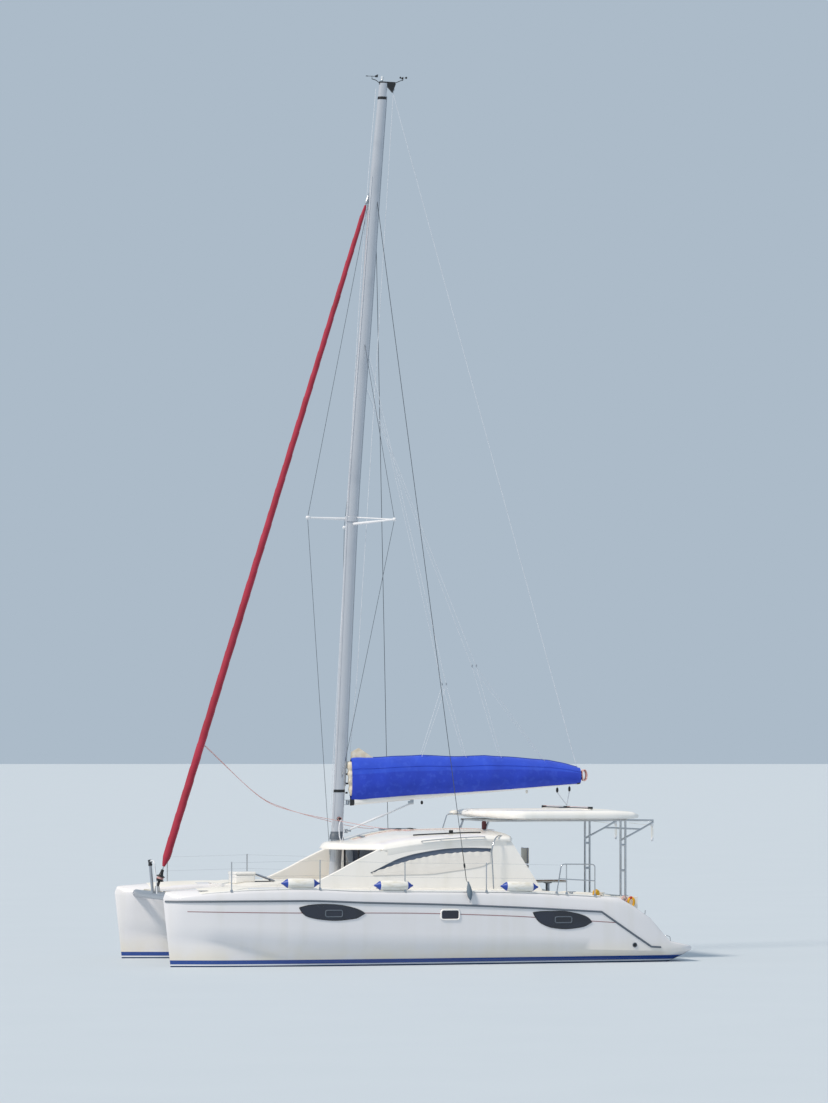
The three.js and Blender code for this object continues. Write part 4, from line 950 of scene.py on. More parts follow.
pane = block((-0.41, -0.41, 0.03), (0.21, 0.21, 0.040), 0.004)
bmesh.ops.translate(pane, verts=pane.verts, vec=(0, -0.1, roof_height(-0.1, 0.3) - 0.012))
fit(pane, "roof_hatch_pane", "boat", smoke)


# Aft bulkhead and its glazed sliding door: an aluminium frame round a smoked pane, on its own body.
dressed("aft_bulkhead", gelcoat, round_by=0.006)
DOOR_LOW, DOOR_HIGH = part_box("saloon_door")
STILE = 0.055
stiles = block(DOOR_LOW, DOOR_HIGH, 0.004)
door = fit(stiles, "door_frame", "door", aluminium, ["saloon_door"])
carve(door, [block((DOOR_LOW.x - 0.1, DOOR_LOW.y + STILE, DOOR_LOW.z + STILE * 1.5),
                   (DOOR_HIGH.x + 0.1, DOOR_HIGH.y - STILE, DOOR_HIGH.z - STILE))])
middle = (DOOR_LOW.x + DOOR_HIGH.x) / 2
fit(block((middle - 0.004, DOOR_LOW.y + STILE - 0.008, DOOR_LOW.z + STILE * 1.5 - 0.008),
          (middle + 0.004, DOOR_HIGH.y - STILE + 0.008, DOOR_HIGH.z - STILE + 0.008)),
    "door_pane", "door", smoke)
# Mast: an oval aluminium extrusion, stepped through the brow, with a luff track on its back. A band
# marks the top of the hoist, and a crane at the head carries the halyards aft.
MAST_TOP, MAST_FOOT = 18.95, 1.71
silver = Paint("mast_silver", tone("c9cdd4"), 0.3, 0.35, Coat_Weight=0.25)
draw_marks = silver.noise(5.0, 4.0, silver.stretched(8.0, 8.0, 0.15))
silver.tinted(draw_marks * 0.45, tone("aab0ba"))
silver.tinted(silver.noise(1.2, 4.0).above(0.62, 0.1) * 0.2, tone("8f97a3"))
silver.put("Roughness", draw_marks * 0.2 + 0.2)

levels = [MAST_FOOT + (MAST_TOP - MAST_FOOT) * k / 60 for k in range(61)]
fit(sheath([mast_ring(z) for z in levels]), "mast_spar", "boat", silver, ["mast"])


def on_mast(z, back=0.0, y=0.0):
    """A point behind the mast's middle at a height."""
    x, chord, _ = fair(MAST_ROWS, z)
    return Vector((x - back, y, z))


track = [on_mast(z, fair(MAST_ROWS, z)[1] * 0.47 + 0.004) for z in levels if 3.6 < z < 18.7]
tubes("luff_track", [track], 0.03, "boat", aluminium, facets=8)
bands = [sheath([mast_ring(z - 0.03, 0.003), mast_ring(z + 0.03, 0.003)]) for z in (18.62, 3.62)]
for number, band in enumerate(bands):
    fit(band, f"mast_band_{number + 1}", "boat", black)
head_x = fair(MAST_ROWS, MAST_TOP)[0]
crane = plate([(head_x + 0.10, -0.03, MAST_TOP - 0.03), (head_x + 0.09, -0.03, MAST_TOP + 0.035),
    (head_x - 0.26, -0.03, MAST_TOP + 0.03), (head_x - 0.27, -0.03, MAST_TOP - 0.02),
    (head_x - 0.20, -0.03, MAST_TOP - 0.20), (head_x - 0.09, -0.03, MAST_TOP - 0.08)], (0, 0.06, 0))
fit(crane, "masthead_crane", "boat", black)
sheaves = []
for back, z in ((0.22, MAST_TOP - 0.13), (-0.06, MAST_TOP - 0.02)):
    sheaves.append([on_mast(z, back, -0.02), on_mast(z, back, 0.02)])
tubes("masthead_sheaves", sheaves, 0.08, "boat", aluminium, facets=16)
VANE_X, CUPS_X, POST_TOP = 0.56, -0.14, 19.05
posts = [rounded([(0.39, 0, 18.95), (0.47, 0, 19.01), (VANE_X, 0, 19.03), (VANE_X, 0, POST_TOP - 0.001)],
    0.03), rounded([(0.06, 0, 18.95), (CUPS_X + 0.05, 0, 19.02), (CUPS_X, 0, 19.03),
    (CUPS_X, 0, POST_TOP - 0.001)], 0.03), [(0.33, 0, 18.95), (0.33, 0, 19.02)]]
tubes("masthead_posts", posts, 0.016, "boat", black)


def turned(profile, axis_from, axis_to, facets=20):
    """A form turned about an axis: rows of distance along it and radius."""
    start, way = Vector(axis_from), (Vector(axis_to) - Vector(axis_from)).normalized()
    across = way.orthogonal().normalized()
    over = way.cross(across)
    rings = [[start + way * t + (across * math.cos(2 * math.pi * k / facets)
              + over * math.sin(2 * math.pi * k / facets)) * max(r, 0.0005) for k in range(facets)]
             for t, r in profile]
    return sheath(rings)


lamp_glass = Paint("lamp_lens", tone("e8edf2"), 0.1, Transmission_Weight=0.3)
lamp_glass.tinted(lamp_glass.noise(40.0) * 0.5, tone("c2cbd4"))
fit(turned([(0, 0.03), (0.012, 0.034), (0.02, 0.03), (0.075, 0.03), (0.09, 0.022), (0.095, 0.0)],
           (0.33, 0, 19.01), (0.33, 0, 19.2)), "masthead_light", "boat", lamp_glass)

# Wind instruments: a vane with a tail and a nose weight, and three cups on a spinner.
LOW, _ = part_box("wind_vane")
vane_z = LOW.z + 0.04
vane_parts = [[(VANE_X, 0, LOW.z), (VANE_X, 0, vane_z + 0.01)],
    [(VANE_X + 0.14, 0, vane_z), (VANE_X - 0.13, 0, vane_z)],
    [(VANE_X + 0.14, 0, vane_z, 1.0), (VANE_X + 0.11, 0, vane_z, 2.2), (VANE_X + 0.09, 0, vane_z, 1.0)]]
tubes("vane_arm", vane_parts, 0.011, "vane", black, ["wind_vane"])
tail = [(VANE_X - 0.06, 0.0015, vane_z + 0.012), (VANE_X - 0.13, 0.0015, vane_z + 0.045),
        (VANE_X - 0.14, 0.0015, vane_z + 0.045), (VANE_X - 0.13, 0.0015, vane_z - 0.02),
        (VANE_X - 0.075, 0.0015, vane_z - 0.02)]
fit(plate(tail, (0, -0.003, 0)), "vane_tail", "vane", black)
cup_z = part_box("anemometer")[0].z + 0.03
fit(turned([(0, 0.01), (0.02, 0.012), (0.045, 0.012), (0.052, 0.006), (0.054, 0.0)],
           (CUPS_X, 0, cup_z - 0.03), (CUPS_X, 0, cup_z + 1)), "cup_spinner", "cups", black,
    ["anemometer"])
for k in range(3):
    angle = (k + 0.25) * 2 * math.pi / 3
    out = Vector((math.cos(angle), math.sin(angle), 0))
    ahead = Vector((-out.y, out.x, 0))
    end = Vector((CUPS_X, 0, cup_z)) + out * 0.075
    bowl = [(0.022 * math.sin(a), 0.024 * math.cos(a)) for a in (math.radians(t) for t in range(0, 91, 15))]
    shell = [(t, r) for t, r in bowl] + [(t * 0.86, r * 0.86) for t, r in reversed(bowl)]
    fit(turned(shell, end - ahead * 0.008, end + ahead, 14), f"cup_{k + 1}", "cups", black)
    tubes(f"cup_arm_{k + 1}", [[Vector((CUPS_X, 0, cup_z)), end]], 0.007, "cups", black, facets=6)


# Spreaders: one level of three struts in aerofoil section, one forward and two swept aft, in a
# collar, with rounded tip cups where the wires bend over them and thin stays to hold them level.
SPREADER_Z = 9.475
spreader_x = fair(MAST_ROWS, SPREADER_Z)[0]
TIPS = [Vector((2.0, 0, 9.49)), Vector((spreader_x - 0.385, 1.9, 9.38)),
    Vector((spreader_x - 0.385, -1.9, 9.38))]
collar = [mast_ring(SPREADER_Z + z, grow) for z, grow in ((-0.06, 0.004), (-0.05, 0.024), (0.05, 0.024),
    (0.06, 0.004))]
fit(sheath(collar), "spreader_collar", "boat", silver, ["spreaders"])
struts = []
white_alloy = Paint("white_spreader_paint", tone("e4e6ea"), 0.35)
white_alloy.tinted(white_alloy.noise(6.0, 4.0).above(0.55, 0.2) * 0.4, tone("c4c9d0"))
for tip in TIPS:
    root = Vector((spreader_x, 0, tip.z - 0.02))
    struts.append([(*root.lerp(tip, t), r) for t, r in ((0.05, 1.25), (0.3, 1.15), (0.7, 0.9),
        (1.0, 0.75))])
tubes("spreader_struts", struts, 0.052, "boat", white_alloy, facets=16)
stays = [[on_mast(SPREADER_Z + 0.03, 0.1, tip.y * 0.03), tip] for tip in TIPS[1:]]
tubes("spreader_stays", stays, 0.03, "boat", white_alloy, facets=12)
for number, tip in enumerate(TIPS):
    out = (tip - Vector((spreader_x, 0, SPREADER_Z))).normalized()
    fit(turned([(-0.06, 0.022), (-0.04, 0.036), (0.0, 0.042), (0.03, 0.034), (0.045, 0.0)], tip, tip + out),
        f"spreader_tip_{number + 1}", "boat", white_alloy, sharp=70)


# Standing rigging: wire in swaged ends. Diamonds run over the spreader tips and hold the mast
# straight; two cap shrouds end in turnbuckles and leaf-shaped boots outside the hulls.
HOUNDS = 16.6
wire = Paint("rigging_wire", tone("4c525b"), 0.4, 0.7)
strands = wire.node("ShaderNodeTexWave", {"bands_direction": "DIAGONAL"}, Vector=wire.place(), Scale=60.0)
wire.tinted(strands * 0.5, tone("7d838a"))
boot = Paint("shroud_boot", tone("5d6d7c"), 0.7)
boot.tinted(boot.noise(8.0, 4.0) * 0.5, tone("76858f"))
hounds = on_mast(HOUNDS)
for number, tip in enumerate(TIPS):
    high, low = (13.25, 3.9) if number else (16.35, 2.15)
    y = 0.0 if not number else math.copysign(0.08, tip.y)
    top = on_mast(high, 0.0 if number else -0.12, y)
    foot = on_mast(low, 0.02 if number else -0.125, y)
    tubes(f"diamond_{number + 1}", [[top, tip, foot]], 0.010, "boat", wire, facets=6)
    screw = [foot.lerp(tip, t / (tip - foot).length) for t in (0.08, 0.11, 0.34, 0.37)]
    tubes(f"diamond_screw_{number + 1}", [[(*p, r) for p, r in zip(screw, (0.4, 1.0, 1.0, 0.4))]],
          0.022, "boat", stainless, facets=8)
for name, side in SIDES:
    foot = Vector((-0.697, side * 2.868, 1.50))
    head = Vector((hounds.x - 0.02, side * 0.02, HOUNDS))

    def on_shroud(z):
        return foot.lerp(head, (z - foot.z) / (head.z - foot.z))

    tubes(f"{name}_cap_shroud", [[on_shroud(2.38), on_shroud(HOUNDS - 0.06)]], 0.013, "boat",
          wire, [f"shroud_{name}"], facets=8)
    body = [(*on_shroud(z), r) for z, r in ((1.75, 0.5), (2.02, 0.5), (2.03, 1.2), (2.07, 1.4),
        (2.11, 1.2), (2.12, 0.6), (2.39, 0.55))]
    tubes(f"{name}_turnbuckle", [body], 0.030, "boat", black)
    link = [on_shroud(1.76), on_side(side, -0.665, 1.70, 0.045), on_side(side, -0.69, 1.30, 0.04)]
    tubes(f"{name}_shroud_link", [link], 0.018, "boat", stainless)
    leaf = [(0.0, 0.006), (0.03, 0.016), (0.12, 0.044), (0.21, 0.060), (0.30, 0.052), (0.36, 0.030),
        (0.40, 0.006)]
    fit(turned(leaf, on_side(side, -0.66, 1.745, 0.06), on_side(side, -0.69, 1.345, 0.06)),
        f"{name}_shroud_boot", "boat", boot)


# Forestay and headsail: the sail is wound on an aluminium foil above a furling drum, with its
# crimson sacrificial edge outside, turn over turn.
STAY_FOOT = Vector((5.314, 0, 1.56))
STAY_HEAD = Vector((fair(MAST_ROWS, HOUNDS + 0.1)[0] + 0.06, 0, 16.76))


def on_stay(t):
    return STAY_FOOT.lerp(STAY_HEAD, t)


stay_way = (STAY_HEAD - STAY_FOOT).normalized()
stay_length = (STAY_HEAD - STAY_FOOT).length
tubes("forestay_foil", [[on_stay(0.004), on_stay(0.995)]], 0.024, "boat", stainless,
      ["forestay"])
drum = [(0.05, 0.02), (0.055, 0.030), (0.16, 0.030), (0.165, 0.060), (0.185, 0.092), (0.20, 0.094),
    (0.205, 0.065), (0.26, 0.062), (0.265, 0.094), (0.28, 0.092), (0.30, 0.05), (0.36, 0.034),
    (0.42, 0.034), (0.425, 0.018)]
fit(turned(drum, STAY_FOOT, STAY_HEAD, 28), "furling_drum", "boat", black, sharp=40)
drum_line = [(t, 0.062 + r) for t, r in ((0.207, 0.004), (0.214, 0.014), (0.225, 0.008), (0.235, 0.016),
    (0.246, 0.010), (0.258, 0.004))]
fit(turned(drum_line, STAY_FOOT, STAY_HEAD, 28), "drum_line", "boat", red_rope)
swivel = [(0.0, 0.014), (0.01, 0.034), (0.10, 0.036), (0.12, 0.026), (0.16, 0.030), (0.20, 0.014)]
fit(turned(swivel, on_stay(0.970), STAY_HEAD), "halyard_swivel", "boat", aluminium)

crimson = Paint("crimson_sunstrip", tone("9c1632"), 0.72, Sheen_Weight=0.15)
crimson.tinted(crimson.noise(3.0, 5.0).above(0.5, 0.2) * 0.5, tone("b52a48"))
crimson.tinted(crimson.noise(1.0, 4.0, crimson.stretched(1, 1, 0.4)).above(0.56, 0.15) * 0.4,
    tone("7c0f26"))
crimson_cloth = crimson.noise(160.0, 3.0)
crimson.bump(crimson_cloth, 0.0015, 0.6)
ROLL = [(0.031, 0.030), (0.036, 0.050), (0.045, 0.084), (0.3, 0.079), (0.7, 0.063), (0.95, 0.046),
    (0.968, 0.022)]
across = stay_way.orthogonal().normalized()
over = stay_way.cross(across)
rings = []
ROLL_STEPS, ROLL_FACETS = 460, 28
for i in range(ROLL_STEPS + 1):
    t = ROLL[0][0] + (ROLL[-1][0] - ROLL[0][0]) * i / ROLL_STEPS
    radius = -fair([(-a, -b) for a, b in ROLL], -t)[0]
    ring = []
    for k in range(ROLL_FACETS):
        a = 2 * math.pi * k / ROLL_FACETS
        turn = (a / (2 * math.pi) + t * stay_length / 0.52) % 1
        step = 0.007 * (turn - 0.5) + 0.004 * noise.noise(Vector((a * 0.7, t * 40, 0)))
        ring.append(on_stay(t) + (across * math.cos(a) + over * math.sin(a)) * (radius + step))
    rings.append(ring)
fit(sheath(rings), "genoa_roll", "boat", crimson, ["furled_genoa"], sharp=50)


# Boom: a rounded white section with black end fittings, on a gooseneck behind the mast, with a
# rigid strut below it that holds its weight.
BOOM_PIN = Vector((1.105, 0, 3.375))


def boom_under(x):
    return 3.305 + (1.05 - x) * 0.0871


def boom_ring(x, grow=0.0, half=0.065, deep=0.14):
    middle = boom_under(x) + deep / 2
    ring = []
    for k in range(32):
        a = 2 * math.pi * (k + 0.5) / 32
        c, s = math.cos(a), math.sin(a)
        square = (abs(c) ** 3.2 + abs(s) ** 3.2) ** (-1 / 3.2)
        ring.append(Vector((x, (half + grow) * c * square, middle + (deep / 2 + grow) * s * square)))
    return ring


boom_paint = Paint("boom_paint", tone("f0efec"), 0.28, Coat_Weight=0.3)
boom_paint.tinted(boom_paint.noise(2.0, 4.0, boom_paint.stretched(0.6, 1, 1)).above(0.58, 0.15) * 0.35,
    tone("d6d2cb"))
spans = [0.99 - (0.99 + 4.12) * k / 24 for k in range(25)]
fit(sheath([boom_ring(x) for x in spans]), "boom_spar", "boom_unit", boom_paint, ["boom"])
for number, (x0, x1) in enumerate(((1.045, 0.96), (-4.09, -4.175))):
    ends = sheath([boom_ring(x, grow) for x, grow in ((x0, -0.014), (x0 + (x1 - x0) * 0.1, 0.003),
        (x0 + (x1 - x0) * 0.9, 0.003), (x1, -0.014))])
    fit(ends, f"boom_end_{number + 1}", "boom_unit", black)
LEAN = -0.0484
pin_top = BOOM_PIN + Vector((LEAN * 0.058, 0, 0.058))
fit(turned([(0, 0.012), (0.004, 0.014), (0.112, 0.014), (0.116, 0.012)],
    BOOM_PIN - Vector((LEAN * 0.058, 0, 0.058)), pin_top), "gooseneck_pin", "boat",
    stainless)
fit(turned([(0, 0.030), (0.004, 0.036), (0.080, 0.036), (0.084, 0.030)],
    BOOM_PIN - Vector((LEAN * 0.042, 0, 0.042)), pin_top), "gooseneck_eye", "boom_unit",
    stainless)
fit(block((1.015, -0.018, 3.345), (1.080, 0.018, 3.405), 0.006), "gooseneck_neck", "boom_unit",
    stainless)
for number, (z, gap) in enumerate(((BOOM_PIN.z, 0.044), (2.76, 0.030))):
    pin_x = BOOM_PIN.x + (z - BOOM_PIN.z) * LEAN
    for up in (-1, 1):
        low, high = sorted((z + up * gap, z + up * (gap + 0.014)))
        cheek = block((pin_x - 0.034, -0.032, low), (fair(MAST_ROWS, z)[0] - 0.10, 0.032, high), 0.003)
        fit(cheek, f"mast_cheek_{number + 1}_{'upper' if up > 0 else 'lower'}", "boat",
            stainless)
vang_foot = Vector((BOOM_PIN.x + (2.76 - BOOM_PIN.z) * LEAN, 0, 2.76))
vang_head = Vector((-0.345, 0, boom_under(-0.345) - 0.07))
way = (vang_head - vang_foot).normalized()
strut = [(*(vang_foot + way * t), r) for t, r in ((0.10, 1.0), (0.86, 1.0), (0.861, 1.12), (0.90, 1.12),
    (0.901, 0.70), (1.56, 0.70))]
tubes("vang_strut", [strut], 0.050, "boom_unit", white_alloy, ["vang"], facets=16)
fit(turned([(0, 0.024), (0.003, 0.028), (0.053, 0.028), (0.056, 0.024)],
    vang_foot - Vector((0, 0, 0.028)), vang_foot + Vector((0, 0, 1))), "vang_eye", "boom_unit",
    stainless)
fit(block((vang_foot.x - 0.11, -0.012, 2.744), (vang_foot.x - 0.022, 0.012, 2.784), 0.004), "vang_neck",
    "boom_unit", stainless)
fit(block((vang_head.x - 0.035, -0.024, vang_head.z - 0.03),
    (vang_head.x + 0.085, 0.024, vang_head.z + 0.045), 0.008), "vang_fork", "boom_unit",
    stainless)
fit(block((vang_head.x - 0.04, -0.010, vang_head.z + 0.01),
    (vang_head.x + 0.04, 0.010, boom_under(vang_head.x) + 0.012), 0.003), "vang_lug", "boom_unit",
    stainless)


# Sail cover: a zipped sleeve of royal-blue acrylic canvas on the boom, held up by the lazy jacks.
# The folded mainsail fills it unevenly, and its cloth hangs in soft folds over the boom's sides.
COVER_TOP = [(1.03, 4.33), (0.5, 4.36), (-0.07, 4.39), (-2.35, 4.37), (-3.72, 4.24), (-4.18, 4.14)]
COVER_WIDTH = [(1.03, 0.62), (0.7, 1.0), (-0.07, 1.05), (-2.35, 1.0), (-3.72, 0.8), (-4.18, 0.55)]
COVER_FOOT = [(1.03, 0.14), (-0.07, 0.13), (-1.37, 0.085), (-2.63, 0.05), (-3.56, 0.035), (-4.18, 0.02)]
COVER_HALF = [(0.078, -0.03), (0.150, 0.12), (0.200, 0.36), (0.196, 0.56), (0.150, 0.78), (0.085, 0.93),
    (0.03, 1.0)]

royal = Paint("royal_canvas", tone("1a3fc4"), 0.82, Sheen_Weight=0.25)
# The cover above six tenths of its height is painted lighter blue, as painted light on the part that faces
# up.
up = royal.node("ShaderNodeAttribute", {"attribute_name": "lift"}, out="Fac")
royal.tinted(up.above(0.60, 0.02) * 0.55, tone("2c5ae0"))
royal.tinted(royal.noise(1.6, 5.0).above(0.5, 0.22) * 0.4, tone("1333a4"))
royal.tinted(royal.noise(9.0, 4.0).above(0.6, 0.1) * 0.2, tone("4a6fe4"))
thread = royal.noise(240.0, 2.0)
royal.bump(thread, 0.001, 0.5)


def cover_point(x, t, side):
    """A point on the sleeve: t runs from the boom up to the zip."""
    low = boom_under(x) + fair(COVER_FOOT, x)[0]
    rise = fair(COVER_TOP, x)[0] - low
    size = fair(COVER_WIDTH, x)[0]
    places = [(k / (len(COVER_HALF) - 1), *row) for k, row in enumerate(COVER_HALF)]
    y, up = [-v for v in fair([(-a, -b, -c) for a, b, c in places], -t)]
    lump = noise.noise(Vector((x * 0.9, side * 2.0, t * 1.4)))
    crease = noise.noise(Vector((x * 3.4 + t * 1.2, side * 4.0, t * 2.0)))
    lace = math.cos(2 * math.pi * x / 0.47) * max(0, 0.35 - t)
    out = 0.026 * lump + 0.016 * crease * (1 - t * 0.5) - 0.02 * lace
    sag = -0.03 * abs(math.sin(math.pi * (x - 0.9) / 1.45)) * t + 0.02 * noise.noise(Vector((x * 1.3, 9,
        0))) * t
    return Vector((x, side * (y * size + out * size), low + up * rise + sag))


COVER_SLICES, COVER_BAYS = 170, 14
bays = [k / COVER_BAYS for k in range(COVER_BAYS + 1)]
skin, stuffing = [], []
for i in range(COVER_SLICES + 1):
    x = 1.03 - 5.21 * i / COVER_SLICES
    over_boom = [cover_point(x, t, 1) for t in bays] + [cover_point(x, t, -1) for t in reversed(bays)]
    skin.append(over_boom)
    if i % 5 == 2:
        middle = Vector((x, 0, (over_boom[0].z + over_boom[COVER_BAYS].z) / 2))
        stuffing.append([middle.lerp(point, 0.86) for point in over_boom])
bm = sheath(skin, closed=False, ends=False)
lift = bm.verts.layers.float.new("lift")
for vert in bm.verts:
    low = boom_under(vert.co.x) + fair(COVER_FOOT, vert.co.x)[0] - 0.02
    vert[lift] = (vert.co.z - low) / (fair(COVER_TOP, vert.co.x)[0] - low)
bmesh.ops.solidify(bm, geom=bm.faces[:], thickness=0.004)
cover = fit(bm, "mainsail_cover", "boom_unit", royal, ["sail_cover"], sharp=60)
for side, name in ((1, "port"), (-1, "starboard")):
    seam = [cover_point(1.01 - 5.17 * k / 110, 0.62, side) + Vector((0, side * 0.003,
        0)) for k in range(111)]
    tubes(f"cover_seam_{name}", [seam], 0.008, "boom_unit", royal, facets=6)
zip_line = [cover_point(0.99 - 5.11 * k / 110, 1.0, 0.0001) + Vector((0, 0, 0.006)) for k in range(111)]
tubes("cover_zip", [zip_line], 0.02, "boom_unit", blue_vinyl, facets=8)

# Stowed mainsail: its flaked cloth fills the sleeve and lies in cream folds between the slides on
# the mast's track. The peaked headboard stands above the cover.
sailcloth = Paint("sailcloth", tone("ece4d4"), 0.7, Sheen_Weight=0.1)
sailcloth.tinted(sailcloth.noise(9.0, 5.0).above(0.5, 0.2) * 0.5, tone("c3ad8a"))
sailcloth.bump(sailcloth.noise(120.0, 3.0), 0.001, 0.5)
fit(sheath(stuffing), "stowed_mainsail", "boom_unit", sailcloth, sharp=60)
LUFF = [(4.24, 1.09, 0.02), (4.21, 1.125, 0.07), (4.12, 1.13, 0.085), (4.04, 1.10, 0.07),
    (3.97, 1.115, 0.085), (3.88, 1.085, 0.07), (3.80, 1.10, 0.085), (3.71, 1.07, 0.065),
    (3.63, 1.085, 0.08), (3.55, 1.06, 0.06), (3.50, 1.04, 0.02)]
rings = []
for k in range(61):
    z = 4.24 - 0.74 * k / 60
    front, half = fair(LUFF, z)
    ring = []
    for j in range(24):
        a = 2 * math.pi * j / 24
        crease = 0.008 * noise.noise(Vector((math.cos(a), math.sin(a), z * 14)))
        ring.append(Vector((0.96 + (front - 0.96) * math.cos(a) + crease, (half + crease) * math.sin(a),
            z + 0.02 * math.cos(a))))
    rings.append(ring)
fit(sheath(rings), "luff_folds", "boom_unit", sailcloth, sharp=60)
slides = [[on_mast(3.58 + 0.2 * k, 0.145), on_mast(3.58 + 0.2 * k, 0.19)] for k in range(4)]
tubes("luff_slides", slides, 0.04, "boat", black, facets=8)
peak = [(1.04, 0, 4.30), (1.02, 0, 4.46), (0.85, 0, 4.545), (0.52, 0, 4.33), (0.62, 0, 4.30)]
head = fit(plate([(x, y - 0.012, z) for x, y, z in peak], (0, 0.024, 0)), "sail_headboard", "boom_unit",
    sailcloth)


# Running rigging: halyards and the topping lift in white cord with grey fleck, lazy jacks that
# split in two and hold the cover, the mainsheet and its blocks, and winches with coils on the mast.
cord = Paint("halyard_cord", tone("dfe3ea"), 0.75)
cord.tinted(cord.noise(90.0, 3.0).above(0.55, 0.08) * 0.6, tone("8e97a4"))


def jack(name, top, foot, thickness=0.009):
    """A rope from the mast down to the boom, made as one piece that is fixed to no body."""
    way = (foot - top).normalized()
    piece = tubes(name, [[top, top + way * 1.0, top + way * 2.0, foot]], thickness, None, cord,
        facets=6)
    tuple(top)
    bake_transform(piece)


jack("topping_lift", Vector((0.10, 0, 18.80)), Vector((-4.15, 0, 3.99)), 0.012)
halyard_lines = [
    [on_mast(18.83, -0.16), on_mast(17.0, -0.165), on_mast(14.0, -0.17), on_mast(3.2, -0.175)],
    [on_mast(18.80, 0.24), on_mast(15.0, 0.30), on_mast(6.0, 0.28), on_mast(4.4, 0.20)],
    [on_mast(16.9, -0.10, 0.06), on_mast(10.0, -0.145, 0.07), on_mast(2.9, -0.15, 0.08)],
]
tubes("halyards", halyard_lines, 0.012, "boat", cord, facets=6)

for name, side in SIDES:
    z = 3.02 if side > 0 else 2.78
    drum = [(0, 0.048), (0.02, 0.05), (0.03, 0.036), (0.07, 0.033), (0.085, 0.043), (0.092, 0.04),
        (0.095, 0.0)]
    base = on_mast(z, 0.0, side * 0.08)
    fit(turned(drum, base, base + Vector((0, side, 0)), 24), f"{name}_mast_winch", "boat", black,
        sharp=40)
    tail = [base + Vector((0.04 * math.cos(a), side * (0.04 + 0.006 * a),
        0.04 * math.sin(a))) for a in (math.pi * k / 6 for k in range(25))]
    tubes(f"{name}_winch_turns", [tail], 0.012, "boat", red_rope, facets=6)
    coil = [base + Vector((-0.02 + 0.05 * math.cos(a), side * (0.09 + 0.002 * a),
        -0.24 + 0.22 * math.sin(a))) for a in (math.pi * k / 8 for k in range(81))]
    tubes(f"{name}_halyard_coil", [coil], 0.013, "boat", cord, facets=6)
for name, side in SIDES:
    for number, (top_z, knot_x, feet) in enumerate(((13.0, -1.9, (-0.55, -1.55)),
            (12.3, -3.0, (-2.35, -3.35)))):
        top = on_mast(top_z, 0.14, side * 0.05)
        knot = Vector((knot_x * 0.62 + 0.1, side * 0.15, 6.3 if number else 5.9))
        jack(f"{name}_lazy_jack_{number + 1}", top, knot)
        legs = [[knot, cover_point(x, 0.9, side) + Vector((0, side * 0.01, 0.01))] for x in feet]
        tubes(f"{name}_jack_legs_{number + 1}", legs, 0.008, "boom_unit", cord, facets=6)
        ring = [(*knot, 1.0), (*(knot + Vector((0, 0, 0.05))), 1.0)]
        tubes(f"{name}_jack_ring_{number + 1}", [ring], 0.03, "boom_unit", aluminium)


def pulley(name, where, body, length=0.11, paint=black):
    """A sheave block: two cheeks about a wheel, with a becket above."""
    shape = [(-length / 2, 0.008), (-length * 0.42, 0.022), (0, 0.030), (length * 0.42, 0.022),
        (length / 2, 0.008)]
    bm = turned(shape, where, where + Vector((0, 0, 1)), 14)
    for vert in bm.verts:
        vert.co.y = where.y + (vert.co.y - where.y) * 0.55
    fit(bm, name, body, paint, sharp=50)


car = Vector((-3.88, 0, 3.22))
for number, x in enumerate((-3.66, -3.94)):
    boom_eye = Vector((x, 0, boom_under(x) - 0.09))
    pulley(f"mainsheet_block_{number + 1}", boom_eye, "boom_unit")
    tubes(f"mainsheet_strop_{number + 1}", [[boom_eye + Vector((0, 0, 0.05)),
        boom_eye + Vector((0, 0, 0.10))]], 0.012, "boom_unit", cord)
    falls = []
    for dy in (-0.012, 0.012):
        foot, head = car + Vector((0, dy, 0.08)), boom_eye + Vector((0, dy, -0.05))
        falls.append([foot, foot.lerp(head, 0.25), foot.lerp(head, 0.5), foot.lerp(head, 0.75), head])
    sheet = tubes(f"mainsheet_fall_{number + 1}", falls, 0.011, None, cord, facets=6)
    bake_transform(sheet)
for number, (x, drop, colour) in enumerate(((-0.57, 0.08, black), (-2.96, 0.06, vinyl))):
    pulley(f"reef_block_{number + 1}", Vector((x, 0, boom_under(x) - drop)), "boom_unit", 0.08, colour)
tail = [(-4.265 + 0.055 * math.cos(a), 0.012 * a / math.pi - 0.04,
    3.95 + 0.12 * math.sin(a)) for a in (math.pi * k / 8 for k in range(97))]
tubes("reef_line_tail", [tail], 0.018, "boom_unit", red_rope)

# Headsail sheets: two worn braided ropes with a red fleck. They run from the furled sail's clew to
# blocks on the roof.
for name, side in SIDES:
    clew = on_stay(0.2) + Vector((-0.08, side * 0.05, 0))
    low = 0.0 if side < 0 else 0.05
    ends = [(clew.x + 0.4, 0, clew.z + 0.3), clew, (3.09 + low, side * 0.2, 3.57 - low),
        (2.36 + low, side * 0.4, 3.24 - low), (1.36, side * 0.6, 2.97), (0.69, side * 1.0, 2.84),
        (0.1, side * 1.4, 2.785), (-0.8, side * 1.5, 2.78)]
    tubes(f"{name}_genoa_sheet", [spline([Vector(p) for p in ends], 10)], 0.012, "boat", red_rope,
        facets=8)


